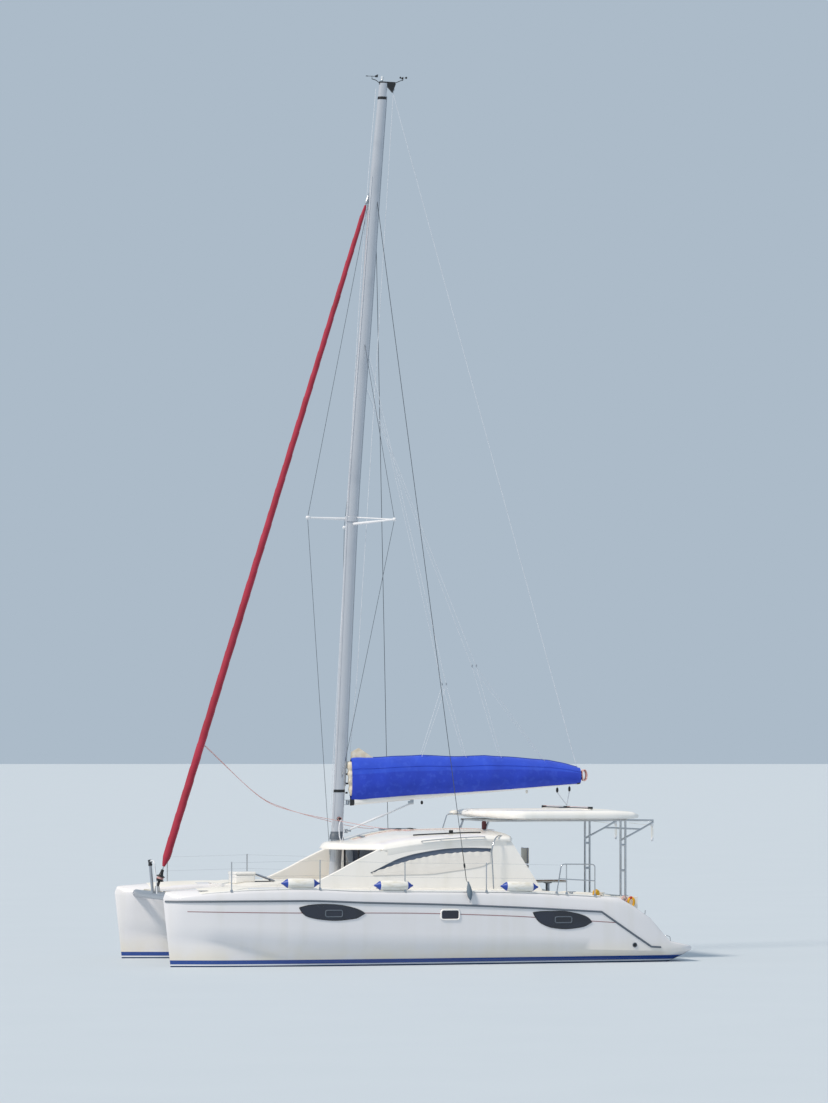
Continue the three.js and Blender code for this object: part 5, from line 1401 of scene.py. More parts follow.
# Hardtop: a moulded sandwich lid over the cockpit, thin at its nose and thick along its sides, with
# a shallow gutter inside its rim. Columns: x, breadth, and the share of depth at its low and high.
HARDTOP_UNDER, HARDTOP_DEPTH, HARDTOP_HALF = 3.01, 0.205, 1.99
HARDTOP_ROWS = [
    (-1.48, 0.22, 0.5, 0.75), (-1.52, 0.3, 0.42, 0.92), (-1.6, 0.43, 0.34, 0.97), (-1.75, 0.62, 0.22, 0.98),
    (-1.9, 0.79, 0.13, 1.0), (-2.07, 0.945, 0.06, 1.0), (-2.3, 1.0, 0.0, 1.0), (-4.18, 1.0, 0.0, 1.0),
    (-4.73, 0.97, 0.05, 0.85), (-4.88, 0.92, 0.15, 0.6),
]
HARDTOP_STEPS = [3, 4, 4, 4, 4, 4, 12, 8, 5]


def hardtop_ring(x):
    size, low, high = fair(HARDTOP_ROWS, x)
    w = HARDTOP_HALF * size
    edge = [(w * 0.5, 1.045), (w - 0.36, 0.965), (w - 0.33, 0.95), (w - 0.30, 0.985), (w - 0.14, 0.955),
        (w - 0.05, 0.86), (w - 0.01, 0.68), (w, 0.4), (w - 0.012, 0.15), (w - 0.07, 0.03),
        (w - 0.22, 0.0)]
    half = [(y, HARDTOP_UNDER + HARDTOP_DEPTH * (low + (high - low) * t)) for y, t in edge]
    middle = [HARDTOP_UNDER + HARDTOP_DEPTH * (low + (high - low) * t) for t in (1.08, 0.0)]
    other = [(-y, z) for y, z in reversed(half)]
    return [Vector((x, y, z)) for y, z in [(0, middle[0]), *half, (0, middle[1]), *other]]


spans = zip(HARDTOP_ROWS, HARDTOP_ROWS[1:], HARDTOP_STEPS)
places = [a[0] + (b[0] - a[0]) * k / n for a, b, n in spans for k in range(n)]
hardtop = fit(sheath([hardtop_ring(x) for x in [*places, HARDTOP_ROWS[-1][0]]]),
              "hardtop_moulding", "boat", gelcoat, ["hardtop"], sharp=40)
hardtop.data.materials.append(nonskid.material)
for face in hardtop.data.polygons:
    face.material_index = 1 if face.normal.z > 0.985 and abs(face.center.y) < 1.5 else 0
for y in (-0.7, 0.7):
    fit(turned([(0, 0.0), (0.001, 0.07), (0.010, 0.07), (0.016, 0.055), (0.020, 0.0)],
               (-2.4, y, HARDTOP_UNDER + 0.002), (-2.4, y, 2.9)),
        f"cockpit_light_{'port' if y > 0 else 'starboard'}", "boat", lamp_glass)


# Frame: welded stainless tube with bent corners. Two pairs of posts stand on the aft beam and carry
# the davit arms, whose braces meet a cross tube; light legs on the roof hold the front.
POST_X, POST_PAIR, POST_Y, POST_FOOT = -4.705, 0.11, 1.17, 1.35
FRAME_Z = HARDTOP_UNDER - 0.0245
FRONT_X, FRONT_Y = -1.80, 0.90
KNEE_X, KNEE_Z, DAVIT_END = -5.17, FRAME_Z - 0.2, -5.46
posts, davits, bars, flanges = [], [], [], []
for name, side in SIDES:
    y = side * POST_Y
    for x in (POST_X, POST_X - POST_PAIR):
        posts.append([(x, y, POST_FOOT), (x, y, FRAME_Z)])
        flanges.append([(x, y, POST_FOOT + 0.001), (x, y, POST_FOOT + 0.012)])
    for z in (1.9, 2.45):
        posts.append([(POST_X, y, z), (POST_X - POST_PAIR, y, z)])
    posts.append([(FRONT_X + 0.06, side * FRONT_Y, FRAME_Z), (POST_X - POST_PAIR - 0.03, y, FRAME_Z)])
    front_y = side * FRONT_Y
    leg = [(FRONT_X + 0.08, front_y, roof_height(FRONT_X + 0.08, FRONT_Y)), (FRONT_X, front_y, FRAME_Z)]
    posts.append(leg)
    flanges.append([leg[0], (FRONT_X + 0.079, front_y, leg[0][2] + 0.012)])
    davits.append(rounded([(POST_X - 0.02, y, 2.56), (KNEE_X, y, KNEE_Z), (DAVIT_END, y, FRAME_Z - 0.04)],
        0.08))
    davits.append([(POST_X - POST_PAIR - 0.02, y, FRAME_Z), (DAVIT_END, y, FRAME_Z - 0.01)])
for x, half, z in ((FRONT_X, FRONT_Y, FRAME_Z), (POST_X - POST_PAIR, POST_Y, FRAME_Z),
        (KNEE_X, POST_Y, KNEE_Z)):
    bars.append([(x, -half, z), (x, half, z)])
tubes("hardtop_posts", posts, 0.048, "boat", stainless, ["hardtop_frame"], facets=16)
tubes("davit_arms", davits, 0.042, "boat", stainless, facets=14)
tubes("frame_cross_bars", bars, 0.044, "boat", stainless, facets=14)
tubes("frame_flanges", flanges, 0.11, "boat", stainless, facets=16)

# Davit tackle: a white four-part tackle of braided cord between two small blocks. It is hooked on
# each davit arm's end.
for name, side in SIDES:
    hook = Vector((DAVIT_END + 0.03, side * POST_Y, FRAME_Z - 0.05))
    pulley(f"{name}_davit_block_upper", hook - Vector((0, 0, 0.05)), "boat", 0.10, white_alloy)
    pulley(f"{name}_davit_block_lower", hook - Vector((0, 0, 0.36)), "boat", 0.10, white_alloy)
    falls = [[hook + Vector((dx, dy, -0.08)), hook + Vector((dx, dy, -0.33))]
             for dx in (-0.016, 0.016) for dy in (-0.008, 0.008)]
    falls.append([hook + Vector((0.01, 0, -0.07)), Vector((POST_X - 0.2, side * POST_Y, FRAME_Z - 0.06))])
    tubes(f"{name}_davit_falls", falls, 0.009, "boat", rope, facets=6)

# Antenna arm: one light bent tube from the roof to the hardtop's nose, with a small white dome on
# it. A dark canvas bag for lines hangs before the port front post.
arm = rounded([(-1.04, 0, roof_height(-1.04, 0)), (-1.14, 0, 3.113), (-1.52, 0, 3.113)], 0.05)
tubes("antenna_arm", [arm], 0.026, "boat", stainless, facets=12)
bag_cloth = Paint("bag_cloth", tone("4a2028"), 0.85)
bag_cloth.tinted(bag_cloth.noise(20.0, 4.0) * 0.5, tone("2a1a20"))
bag = block((-1.735, FRONT_Y - 0.05, 2.79), (-1.645, FRONT_Y + 0.05, 2.975), 0.03, 4)
fit(bag, "post_bag", "boat", bag_cloth, sharp=70)
fit(turned([(0, 0.02), (0.015, 0.02), (0.017, 0.09), (0.03, 0.103), (0.055, 0.095), (0.08, 0.055),
    (0.088, 0.0)], (-1.295, 0, 3.118), (-1.295, 0, 4), 28), "antenna_dome", "boat", vinyl)


# Traveller: a black anodised track on a white plinth across the hardtop, with a roller car under
# the mainsheet and a stop with sheaves at each end.
TRACK_X, TRACK_HALF = -3.88, 1.6
track_z = HARDTOP_UNDER + HARDTOP_DEPTH * 1.03
plinth = block((TRACK_X - 0.045, -TRACK_HALF + 0.02, track_z - 0.02),
    (TRACK_X + 0.045, TRACK_HALF - 0.02, track_z + 0.016), 0.01)
fit(plinth, "traveller_plinth", "boat", gelcoat)
rail = block((TRACK_X - 0.016, -TRACK_HALF, track_z + 0.012),
    (TRACK_X + 0.016, TRACK_HALF, track_z + 0.036), 0.005)
fit(rail, "traveller_track", "boat", black, ["traveller"])
car_body = block((TRACK_X - 0.058, -0.075, track_z + 0.038), (TRACK_X + 0.058, 0.075, track_z + 0.06),
    0.008)
fit(car_body, "traveller_car", "boat", black)
ends = []
for side in (-1, 1):
    y = side * (TRACK_HALF - 0.05)
    ends.append([(TRACK_X - 0.05, y, track_z + 0.032), (TRACK_X + 0.05, y, track_z + 0.032)])
tubes("traveller_sheaves", ends, 0.055, "boat", black, facets=14)
leads = [[(TRACK_X + dx, side * 0.07, track_z + 0.05), (TRACK_X + dx, side * (TRACK_HALF - 0.06),
    track_z + 0.05)] for side in (-1, 1) for dx in (-0.02, 0.02)]
tubes("traveller_lines", leads, 0.008, "boat", red_rope, facets=6)


# Cushions: foam in off-white vinyl with a welt round the top. Each is a boxed form with a crowned
# face, sides that pull in between its corners, and sewn channels where it is long.
seat_vinyl = Paint("seat_vinyl", tone("e3ded2"), 0.55, Sheen_Weight=0.1)
pores = seat_vinyl.node("ShaderNodeTexVoronoi", None, Vector=seat_vinyl.place(), Scale=220.0)
seat_vinyl.tinted(seat_vinyl.noise(6.0, 5.0).above(0.52, 0.2) * 0.45, tone("c9c0ad"))
seat_vinyl.bump(pores, 0.0008)
welt_blue = Paint("welt_blue", tone("24478f"), 0.6)
welt_blue.tinted(welt_blue.noise(60.0, 3.0) * 0.4, tone("335ba8"))
saloon_cloth = Paint("saloon_cloth", tone("4d6486"), 0.9, Sheen_Weight=0.3)
threads = saloon_cloth.node("ShaderNodeTexWave", {"bands_direction": "X"}, Vector=saloon_cloth.place(),
    Scale=110.0)
cross_threads = saloon_cloth.node("ShaderNodeTexWave", {"bands_direction": "Y"},
    Vector=saloon_cloth.place(), Scale=110.0)
saloon_cloth.tinted(threads * cross_threads * 0.5, tone("7489a8"))
saloon_cloth.tinted(saloon_cloth.noise(5.0, 4.0).above(0.55, 0.2) * 0.3, tone("3c5070"))
saloon_cloth.bump(threads + cross_threads, 0.0008, 0.7)
CROWN, PULL = 0.016, 0.010


def cushion(name, low, high, paint, channels=0, facing="Z"):
    """A padded cushion in a box. Its crowned face looks up, or forward where facing is X."""
    low, high = Vector(low), Vector(high)
    if facing == "X":
        low, high = (Vector((v.y, v.z, v.x)) for v in (low, high))
    middle, half = (low + high) / 2, (high - low) / 2
    radius = min(0.030, half.z * 0.85)
    half.z -= CROWN / 2

    def form(u, v, w, proud=0.0):
        p = Vector((u * half.x, v * half.y, w * half.z))
        core = Vector([max(radius - h, min(h - radius, c)) for c, h in zip(p, half)])
        if (p - core).length > 1e-6:
            p = core + (p - core).normalized() * (radius + proud)
        crown = CROWN * (1 - u * u) * (1 - v * v) * max(w, 0)
        if channels:
            seam = abs((u + 1) / 2 * (channels + 1) % 1 - 0.5)
            crown -= 0.010 * math.exp(-((0.5 - seam) / 0.035) ** 2) * max(w,
                0) * (1 if abs(u) < 0.97 else 0)
        pinch_x, pinch_y = PULL * (1 - v * v) * u ** 3, PULL * (1 - u * u) * v ** 3
        p = middle + Vector((p.x - pinch_x, p.y - pinch_y, p.z - CROWN / 2 + crown))
        return Vector((p.z, p.x, p.y)) if facing == "X" else p

    bm = bmesh.new()
    bmesh.ops.create_cube(bm, size=2)
    bmesh.ops.subdivide_edges(bm, edges=bm.edges[:], cuts=23, use_grid_fill=True)
    for vert in bm.verts:
        vert.co = form(*(math.sin(c * math.pi / 2) for c in vert.co))
    bmesh.ops.recalc_face_normals(bm, faces=bm.faces)
    pad = fit(bm, name, "boat", paint, sharp=70)
    ways = [math.sin((k / 12 - 1) * math.pi / 2) for k in range(24)]
    loop = [*((t, -1) for t in ways), *((1, t) for t in ways), *((-t, 1) for t in ways),
        *((-1, -t) for t in ways)]
    welt = [form(u, v, 0.72, 0.001) for u, v in loop]
    tubes(name + "_welt", [[*welt, welt[0]]], 0.009, "boat", welt_blue, facets=6)
    return pad


# Cockpit seat: an L-shaped gelcoat base moulded to the sole, with loose cushions on top.
BENCH = [(-2.9, 0.72), (-2.9, 1.29), (-4.29, 1.29), (-4.29, -0.7), (-3.8, -0.7), (-3.8, 0.72)]
BENCH_FOOT, BENCH_TOP, BENCH_PAD = 1.0, 1.4, 0.085


def seat_base(name, outline, foot, top, node):
    """A moulded seat box with rounded edges."""
    bm = plate([(x, y, foot) for x, y in outline], (0, 0, top - foot))
    bmesh.ops.bevel(bm, geom=bm.edges[:], offset=0.025, segments=4, profile=0.5, affect="EDGES",
        material=-1)
    fit(bm, name, "boat", gelcoat, [node])


seat_base("cockpit_seat_base", BENCH, BENCH_FOOT, BENCH_TOP - BENCH_PAD, "cockpit_bench")
low, high = BENCH_TOP - BENCH_PAD + 0.001, BENCH_TOP
cushion("cockpit_cushion_side", (-3.79, 0.73, low), (-2.91, 1.28, high), seat_vinyl, 2)
cushion("cockpit_cushion_corner", (-4.28, 0.73, low), (-3.80, 1.28, high), seat_vinyl)
cushion("cockpit_cushion_aft", (-4.28, 0.02, low), (-3.81, 0.72, high), seat_vinyl)
cushion("cockpit_cushion_aft_end", (-4.28, -0.69, low), (-3.81, 0.01, high), seat_vinyl)

# Cockpit table: a moulded top with a teak fiddle on a turned aluminium leg.
teak = Paint("oiled_teak", tone("8e5f38"), 0.5, Coat_Weight=0.1)
grain = teak.node("ShaderNodeTexWave", {"bands_direction": "Y", "wave_profile": "SAW"},
                  Vector=teak.stretched(0.6, 9.0, 9.0), Scale=2.4, Distortion=5.0, Detail=3.0)
teak.tinted(grain * 0.6, tone("6b4325"))
teak.tinted(teak.noise(2.4, 4.0) * 0.4, tone("b08150"))
teak.bump(grain, 0.0006)
TABLE_LOW, TABLE_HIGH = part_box("cockpit_table")


def pedestal(name, x, y, foot, top):
    shape = [(0, 0.11), (0.012, 0.11), (0.02, 0.09), (0.03, 0.045), (top - foot - 0.03, 0.045),
        (top - foot - 0.02, 0.09), (top - foot, 0.10)]
    fit(turned(shape, (x, y, foot), (x, y, top), 28), name, "boat", aluminium, sharp=40)


def table_top(name, low, high, paint, node):
    bm = block(low, high, 0.012, 3)
    fit(bm, name, "boat", paint, [node])
    x0, y0, x1, y1, z = low.x + 0.02, low.y + 0.02, high.x - 0.02, high.y - 0.02, high.z + 0.004
    rim = rounded([((x0 + x1) / 2, y0, z), (x0, y0, z), (x0, y1, z), (x1, y1, z), (x1, y0, z),
        ((x0 + x1) / 2 + 0.01, y0, z)], 0.05)
    tubes(name + "_fiddle", [rim], 0.016, "boat", teak, facets=8)


table_top("cockpit_table_top", Vector((TABLE_LOW.x, TABLE_LOW.y, TABLE_HIGH.z - 0.03)), TABLE_HIGH,
    nonskid, "cockpit_table")
pedestal("cockpit_table_leg", -3.35, 0.25, TABLE_LOW.z, TABLE_HIGH.z - 0.03)


# Helm: a moulded console with a dial panel, a compass and two engine levers, a five-spoked stainless
# wheel with a stitched black rim, and a padded seat on a pedestal.
HELM = Vector((-2.56, -1.40, 2.06))
WHEEL_RADIUS = 0.36
dressed("helm_console", gelcoat, "helm_console_moulding", 0.03)
CONSOLE_LOW, CONSOLE_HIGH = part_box("helm_console")
panel_x, panel_z = CONSOLE_LOW.x, CONSOLE_HIGH.z
panel = block((panel_x - 0.008, HELM.y - 0.25, panel_z - 0.155),
    (panel_x + 0.006, HELM.y + 0.25, panel_z - 0.035), 0.005)
fit(panel, "dial_panel", "boat", black)
for number, y in enumerate((-0.17, 0.0, 0.17)):
    face_at = Vector((panel_x - 0.006, HELM.y + y, panel_z - 0.095))
    bezel = [(0, 0.030), (0.002, 0.048), (0.010, 0.048), (0.014, 0.042), (0.011, 0.038), (0.011, 0.0)]
    fit(turned(bezel, face_at, face_at - Vector((1, 0, 0)), 28), f"dial_{number + 1}", "boat",
        rubber, sharp=40)
    fit(turned([(0.0105, 0.0), (0.0106, 0.036), (0.0125, 0.036), (0.013, 0.0)], face_at,
        face_at - Vector((1, 0, 0)), 28), f"dial_glass_{number + 1}", "boat", lamp_glass)
binnacle = Vector((CONSOLE_HIGH.x - 0.2, HELM.y, panel_z - 0.004))
fit(turned([(0, 0.075), (0.012, 0.08), (0.035, 0.074), (0.04, 0.062), (0.065, 0.052), (0.085, 0.03),
    (0.092, 0.0)], binnacle, binnacle + Vector((0, 0, 1)), 28), "compass", "boat", black,
    sharp=40)
levers = block((CONSOLE_HIGH.x - 0.33, HELM.y - 0.33, panel_z - 0.005),
    (CONSOLE_HIGH.x - 0.17, HELM.y - 0.24, panel_z + 0.035), 0.012)
fit(levers, "engine_lever_box", "boat", black)
arms = [[(CONSOLE_HIGH.x - 0.25, HELM.y + dy, panel_z + 0.03),
    (CONSOLE_HIGH.x - 0.28, HELM.y + dy * 1.04, panel_z + 0.12)] for dy in (-0.31, -0.26)]
tubes("engine_levers", arms, 0.012, "boat", stainless)
knobs = [[(*arm[1], 0.4), (arm[1][0] - 0.002, arm[1][1], arm[1][2] + 0.012, 1.0),
    (arm[1][0] - 0.006, arm[1][1], arm[1][2] + 0.028, 0.5)] for arm in arms]
tubes("engine_lever_knobs", knobs, 0.036, "boat", black)

leather = Paint("wheel_leather", tone("1c1c1f"), 0.6)
leather.tinted(leather.noise(60.0, 4.0) * 0.4, tone("34343a"))
leather.bump(leather.node("ShaderNodeTexVoronoi", None, Vector=leather.place(), Scale=260.0), 0.0006)
rim = [HELM + Vector((-0.008, WHEEL_RADIUS * math.cos(a), WHEEL_RADIUS * math.sin(a)))
       for a in (2 * math.pi * k / 72 for k in range(73))]
tubes("wheel_rim", [rim], 0.027, "wheel", leather, ["helm_wheel"], facets=12)
spokes = [[HELM + Vector((-0.008, 0, 0)), HELM + Vector((-0.008, WHEEL_RADIUS * math.cos(a),
    WHEEL_RADIUS * math.sin(a)))] for a in (math.radians(90 + 72 * k) for k in range(5))]
tubes("wheel_spokes", spokes, 0.016, "wheel", stainless)
hub_at = Vector((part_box("helm_wheel")[1].x, HELM.y, HELM.z))
fit(turned([(0, 0.036), (0.003, 0.040), (0.022, 0.040), (0.030, 0.030), (0.040, 0.014), (0.042, 0.0)],
    hub_at, hub_at - Vector((1, 0, 0)), 24), "wheel_hub", "wheel", stainless)

SEAT_LOW, SEAT_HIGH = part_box("helm_seat")
fit(turned([(0, 0.12), (0.015, 0.12), (0.03, 0.07), (0.05, 0.06), (0.44, 0.06), (0.455, 0.10),
    (0.475, 0.11)], (-3.25, -1.515, SEAT_LOW.z), (-3.25, -1.515, 3), 28), "helm_seat_pedestal", "boat",
    aluminium, ["helm_seat"], sharp=40)
cushion("helm_seat_cushion", (SEAT_LOW.x + 0.002, SEAT_LOW.y, 1.90), (SEAT_HIGH.x, SEAT_HIGH.y, 1.99),
    seat_vinyl, 1)
cushion("helm_seat_back", (SEAT_LOW.x, SEAT_LOW.y, 1.995), (SEAT_LOW.x + 0.062, SEAT_HIGH.y, SEAT_HIGH.z),
    seat_vinyl, 2, "X")


# Crossbeam: a round anodised tube between the bows, with the forestay's chainplate in its middle. A
# centre spar runs back from it to the bridgedeck.
BEAM_X, BEAM_Z, BEAM_RADIUS = 5.30, 1.41, 0.082
beam_end = 1.90
beam_rows = [(0, 0.078), (0.004, 0.084), (0.09, 0.084), (0.10, BEAM_RADIUS),
    (2 * beam_end - 0.10, BEAM_RADIUS), (2 * beam_end - 0.09, 0.084), (2 * beam_end - 0.004, 0.084),
    (2 * beam_end, 0.078)]
fit(turned(beam_rows, (BEAM_X, -beam_end, BEAM_Z), (BEAM_X, beam_end, BEAM_Z), 40), "crossbeam_tube",
    "boat", aluminium, ["crossbeam"])
for y in (-0.022, 0.010):
    tang = [(BEAM_X - 0.06, y, BEAM_Z + 0.04), (BEAM_X + 0.07, y, BEAM_Z + 0.04),
        (BEAM_X + 0.05, y, BEAM_Z + 0.20), (BEAM_X + 0.03, y, BEAM_Z + 0.22),
        (BEAM_X - 0.02, y, BEAM_Z + 0.22), (BEAM_X - 0.04, y, BEAM_Z + 0.20)]
    fit(plate(tang, (0, 0.012, 0)), f"stay_tang_{'port' if y > 0 else 'starboard'}", "boat",
        stainless)
tubes("stay_pin", [[(BEAM_X + 0.012, -0.03, BEAM_Z + 0.18), (BEAM_X + 0.012, 0.03, BEAM_Z + 0.18)]],
    0.022, "boat", stainless)
SPAR_LOW, SPAR_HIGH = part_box("centre_spar")
spar = [(SPAR_LOW.x + 0.002, 0, 1.476), (SPAR_HIGH.x + 0.02, 0, 1.432)]
tubes("centre_spar_tube", [spar], 0.118, "boat", aluminium, ["centre_spar"], facets=28)
tubes("spar_flange", [[(SPAR_LOW.x, 0, 1.476), (SPAR_LOW.x + 0.014, 0, 1.476)]], 0.19, "boat",
    aluminium, facets=28)

# Trampolines: knotted cord nets laced to the hulls, the crossbeam and the bridgedeck.
NET_FRONT, NET_AFT, NET_Z, NET_INNER = 5.15, 3.76, 1.497, 0.075
net_cord = Paint("net_cord", tone("d9dade"), 0.8)
net_cord.tinted(net_cord.noise(150.0, 3.0).above(0.5, 0.1) * 0.5, tone("aab0b8"))
STRANDS_ALONG, STRANDS_ACROSS = 38, 30


def net_edge(x):
    """The inboard side of a hull at the net's height."""
    return HULL_Y - side_breadth(x, NET_Z) - 0.012


for name, side in SIDES:
    def on_net(s, f):
        x = NET_AFT + (NET_FRONT - NET_AFT) * s
        y = NET_INNER + (net_edge(x) - NET_INNER) * f
        sag = 0.006 * math.sin(math.pi * s) * math.sin(math.pi * f)
        return Vector((x, side * y, NET_Z - sag))

    strands = [[on_net(k / 10, f / STRANDS_ALONG) for k in range(11)] for f in range(1, STRANDS_ALONG)]
    strands += [[on_net(s / STRANDS_ACROSS, k / 4) for k in range(5)] for s in range(1, STRANDS_ACROSS)]
    tubes(f"{name}_net_mesh", strands, 0.005, "boat", net_cord, [f"net_{name}"], facets=6)
    bolt_rope = [*(on_net(k / 12, 0) for k in range(13)), *(on_net(1, k / 12) for k in range(1, 13)),
        *(on_net(1 - k / 12, 1) for k in range(1, 13)), *(on_net(0, 1 - k / 12) for k in range(1, 13))]
    tubes(f"{name}_net_edge", [bolt_rope], 0.016, "boat", rope, facets=8)
    lacing = [on_net(k / 60, 1) + Vector((0, side * (0.03 if k % 2 else -0.008), 0.004)) for k in range(61)]
    lacing_front = [on_net(1, k / 60) + Vector((0.075, 0, -0.045) if k % 2 else (-0.008, 0,
        0.004)) for k in range(61)]
    tubes(f"{name}_net_lacing", [lacing, lacing_front], 0.006, "boat", rope, facets=6)


# Pulpit: a small stainless hoop that leans forward on the crossbeam, with the bow lamp on a stout
# post at its starboard leg.
PULPIT_HALF, PULPIT_FOOT, PULPIT_TOP, LAMP_FOOT = 0.19, 1.457, 2.15, 2.04


def pulpit_leg(y, z):
    return Vector((BEAM_X + 0.06 + 0.06 * (z - 1.48) / (PULPIT_TOP - 1.48), y, z))


hoop = rounded([pulpit_leg(PULPIT_HALF, PULPIT_FOOT), pulpit_leg(PULPIT_HALF, PULPIT_TOP),
                pulpit_leg(-PULPIT_HALF, PULPIT_TOP), pulpit_leg(-PULPIT_HALF, PULPIT_FOOT)], 0.10, 8)
tubes("pulpit_hoop", [hoop], 0.03, "boat", white_alloy, ["pulpit"], facets=14)
tubes("lamp_post", [[pulpit_leg(-PULPIT_HALF, PULPIT_FOOT), pulpit_leg(-PULPIT_HALF, LAMP_FOOT)]], 0.064,
    "boat", aluminium, facets=20)
lamp_rows = [(0, 0.030), (0.004, 0.042), (0.035, 0.044), (0.04, 0.038), (0.095, 0.038), (0.10, 0.046),
    (0.125, 0.042), (0.133, 0.02), (0.135, 0.0)]
fit(turned(lamp_rows, pulpit_leg(-PULPIT_HALF, LAMP_FOOT), pulpit_leg(-PULPIT_HALF, 2.3), 24), "bow_lamp",
    "boat", black, sharp=40)


# Deck chest: a moulded gelcoat box with an overhanging lid, a rubber seam and two hinges.
CHEST_LOW, CHEST_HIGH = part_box("deck_chest")
dressed("deck_chest", gelcoat, "deck_chest_box", 0.03)
lid_z = CHEST_HIGH.z - 0.06
fit(block((CHEST_LOW.x - 0.008, CHEST_LOW.y - 0.008, lid_z),
    (CHEST_HIGH.x + 0.008, CHEST_HIGH.y + 0.008, CHEST_HIGH.z + 0.006), 0.02, 4), "deck_chest_lid",
    "boat", gelcoat)
x0, x1, y0, y1 = CHEST_LOW.x + 0.025, CHEST_HIGH.x - 0.025, CHEST_LOW.y - 0.001, CHEST_HIGH.y + 0.001
seam = [[(x0, y, lid_z - 0.005), (x1, y, lid_z - 0.005)] for y in (y0, y1)]
tubes("deck_chest_seam", seam, 0.008, "boat", black, facets=6)
hinges = [[(CHEST_LOW.x - 0.012, y, lid_z), (CHEST_LOW.x - 0.012, y + 0.06, lid_z)] for y in (-0.2, 0.14)]
tubes("deck_chest_hinges", hinges, 0.016, "boat", stainless)

# Foredeck hatch: an alloy frame round a smoked pane, hinged aft and propped a little open, over a flat
# black plate in the deck that is painted shade for the dark opening under the lid.
HATCH_X, HATCH_Z, HATCH_LENGTH, HATCH_HALF, HATCH_OPEN = 2.79, 1.7041, 0.43, 0.26, 20
blue_pane = Paint("blue_pane", tone("1b4f8f"), 0.06, Coat_Weight=0.3)
blue_pane.tinted(blue_pane.noise(3.0, 3.0) * 0.5, tone("2f6fb8"))


def hatch_part(low, high, round_by, name, paint, replaces=()):
    """A piece of the lid, made flat from its hinge and then turned up."""
    bm = block(low, high, round_by)
    bmesh.ops.rotate(bm, verts=bm.verts, cent=(0, 0, 0), matrix=Matrix.Rotation(math.radians(-HATCH_OPEN),
        3, "Y"))
    bmesh.ops.translate(bm, verts=bm.verts, vec=(HATCH_X, 0, HATCH_Z))
    return fit(bm, name, "hatch", paint, replaces)


hatch_part((0, -HATCH_HALF, 0.0), (HATCH_LENGTH, HATCH_HALF, 0.020), 0.006, "hatch_frame",
    aluminium, ["foredeck_hatch"])
hatch_part((0.03, -HATCH_HALF + 0.03, 0.018), (HATCH_LENGTH - 0.03, HATCH_HALF - 0.03, 0.025), 0.003,
    "hatch_pane", blue_pane)
hatch_part((0.03, -HATCH_HALF + 0.03, -0.003), (HATCH_LENGTH - 0.03, HATCH_HALF - 0.03, 0.002), 0.001,
    "hatch_pane_under", blue_pane)
tubes("hatch_hinge", [[(HATCH_X, -0.22, HATCH_Z), (HATCH_X, -0.10, HATCH_Z)],
    [(HATCH_X, 0.10, HATCH_Z), (HATCH_X, 0.22, HATCH_Z)]], 0.015, "hatch", aluminium,
    facets=12)
# A black plate laid in the deck is painted shade for the opening under the lid.
fit(block((HATCH_X + 0.03, -HATCH_HALF + 0.02, 1.690), (HATCH_X + HATCH_LENGTH - 0.01, HATCH_HALF - 0.02,
    1.6985), 0.002), "hatch_opening_shade", "boat", black)


# Stern: engine lids with flush handles, exhaust outlets, grab loops beside the steps, a capstan and
# two yellow throw-line bags, and a ladder that folds onto the starboard platform.
yellow = Paint("yellow_nylon", tone("f0b81c"), 0.6, Sheen_Weight=0.15)
yellow.tinted(yellow.noise(14.0, 5.0) * 0.5, tone("d98f12"))
yellow.bump(yellow.noise(90.0, 3.0), 0.0015)
orange = Paint("orange_band", tone("c8452a"), 0.6)
orange.tinted(orange.noise(30.0, 3.0) * 0.5, tone("a8331f"))
for name, side in SIDES:
    dressed(f"engine_lid_{name}", nonskid, f"{name}_engine_lid", 0.008, f"lid_{name}")
    LID_LOW, LID_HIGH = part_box(f"engine_lid_{name}")
    y = side * HULL_Y
    ring = [(*p, 1) for p in rounded([(LID_LOW.x + 0.10, y - 0.05, LID_HIGH.z - 0.075),
        (LID_LOW.x + 0.10, y - 0.05, LID_HIGH.z - 0.035), (LID_LOW.x + 0.10, y + 0.05,
        LID_HIGH.z - 0.035), (LID_LOW.x + 0.10, y + 0.05, LID_HIGH.z - 0.075)], 0.012)]
    tubes(f"{name}_lid_handle", [ring], 0.012, f"lid_{name}", stainless)
    outlet = on_side(side, -4.37, 0.37, 0.0)
    rows = [(-0.01, 0.05), (0.012, 0.052), (0.016, 0.046), (0.018, 0.040)]
    ring = [*rows, (0.002, 0.038), (-0.01, 0.038)]
    fit(turned(ring, outlet, outlet + Vector((0, side, 0)), 24), f"{name}_exhaust_rim", "boat",
        rubber, sharp=50)
    # A black disc inside the rim is painted shade for the outlet's open mouth.
    fit(turned([(-0.01, 0.04), (0.004, 0.04)], outlet, outlet + Vector((0, side, 0)), 24),
        f"{name}_exhaust_mouth_shade", "boat", black, sharp=50)
    grab_y = side * (HULL_Y + 0.735)
    grabs = [rounded([(-5.09, grab_y, 0.47), (-5.10, grab_y, 0.565), (-5.20, grab_y, 0.53),
        (-5.21, grab_y, 0.42)], 0.03)]
    grabs.append([(-4.62, side * (HULL_Y + 0.745), 0.95), (-4.64, side * (HULL_Y + 0.745), 1.10)])
    tubes(f"{name}_stern_grabs", grabs, 0.018, "boat", stainless)
    bag_at = Vector((-3.57, side * (HULL_Y + 0.66), 1.385))
    bag_rows = [(0, 0.0), (0.004, 0.05), (0.02, 0.072), (0.07, 0.08), (0.12, 0.072), (0.15, 0.05),
        (0.165, 0.026), (0.17, 0.0)]
    bag = fit(turned(bag_rows, bag_at, bag_at + Vector((0.1, 0, 1)), 24), f"{name}_line_bag", "boat",
        yellow, sharp=70)
capstan = [(0, 0.07), (0.01, 0.072), (0.02, 0.05), (0.05, 0.042), (0.08, 0.046), (0.092, 0.06),
    (0.10, 0.058), (0.104, 0.0)]
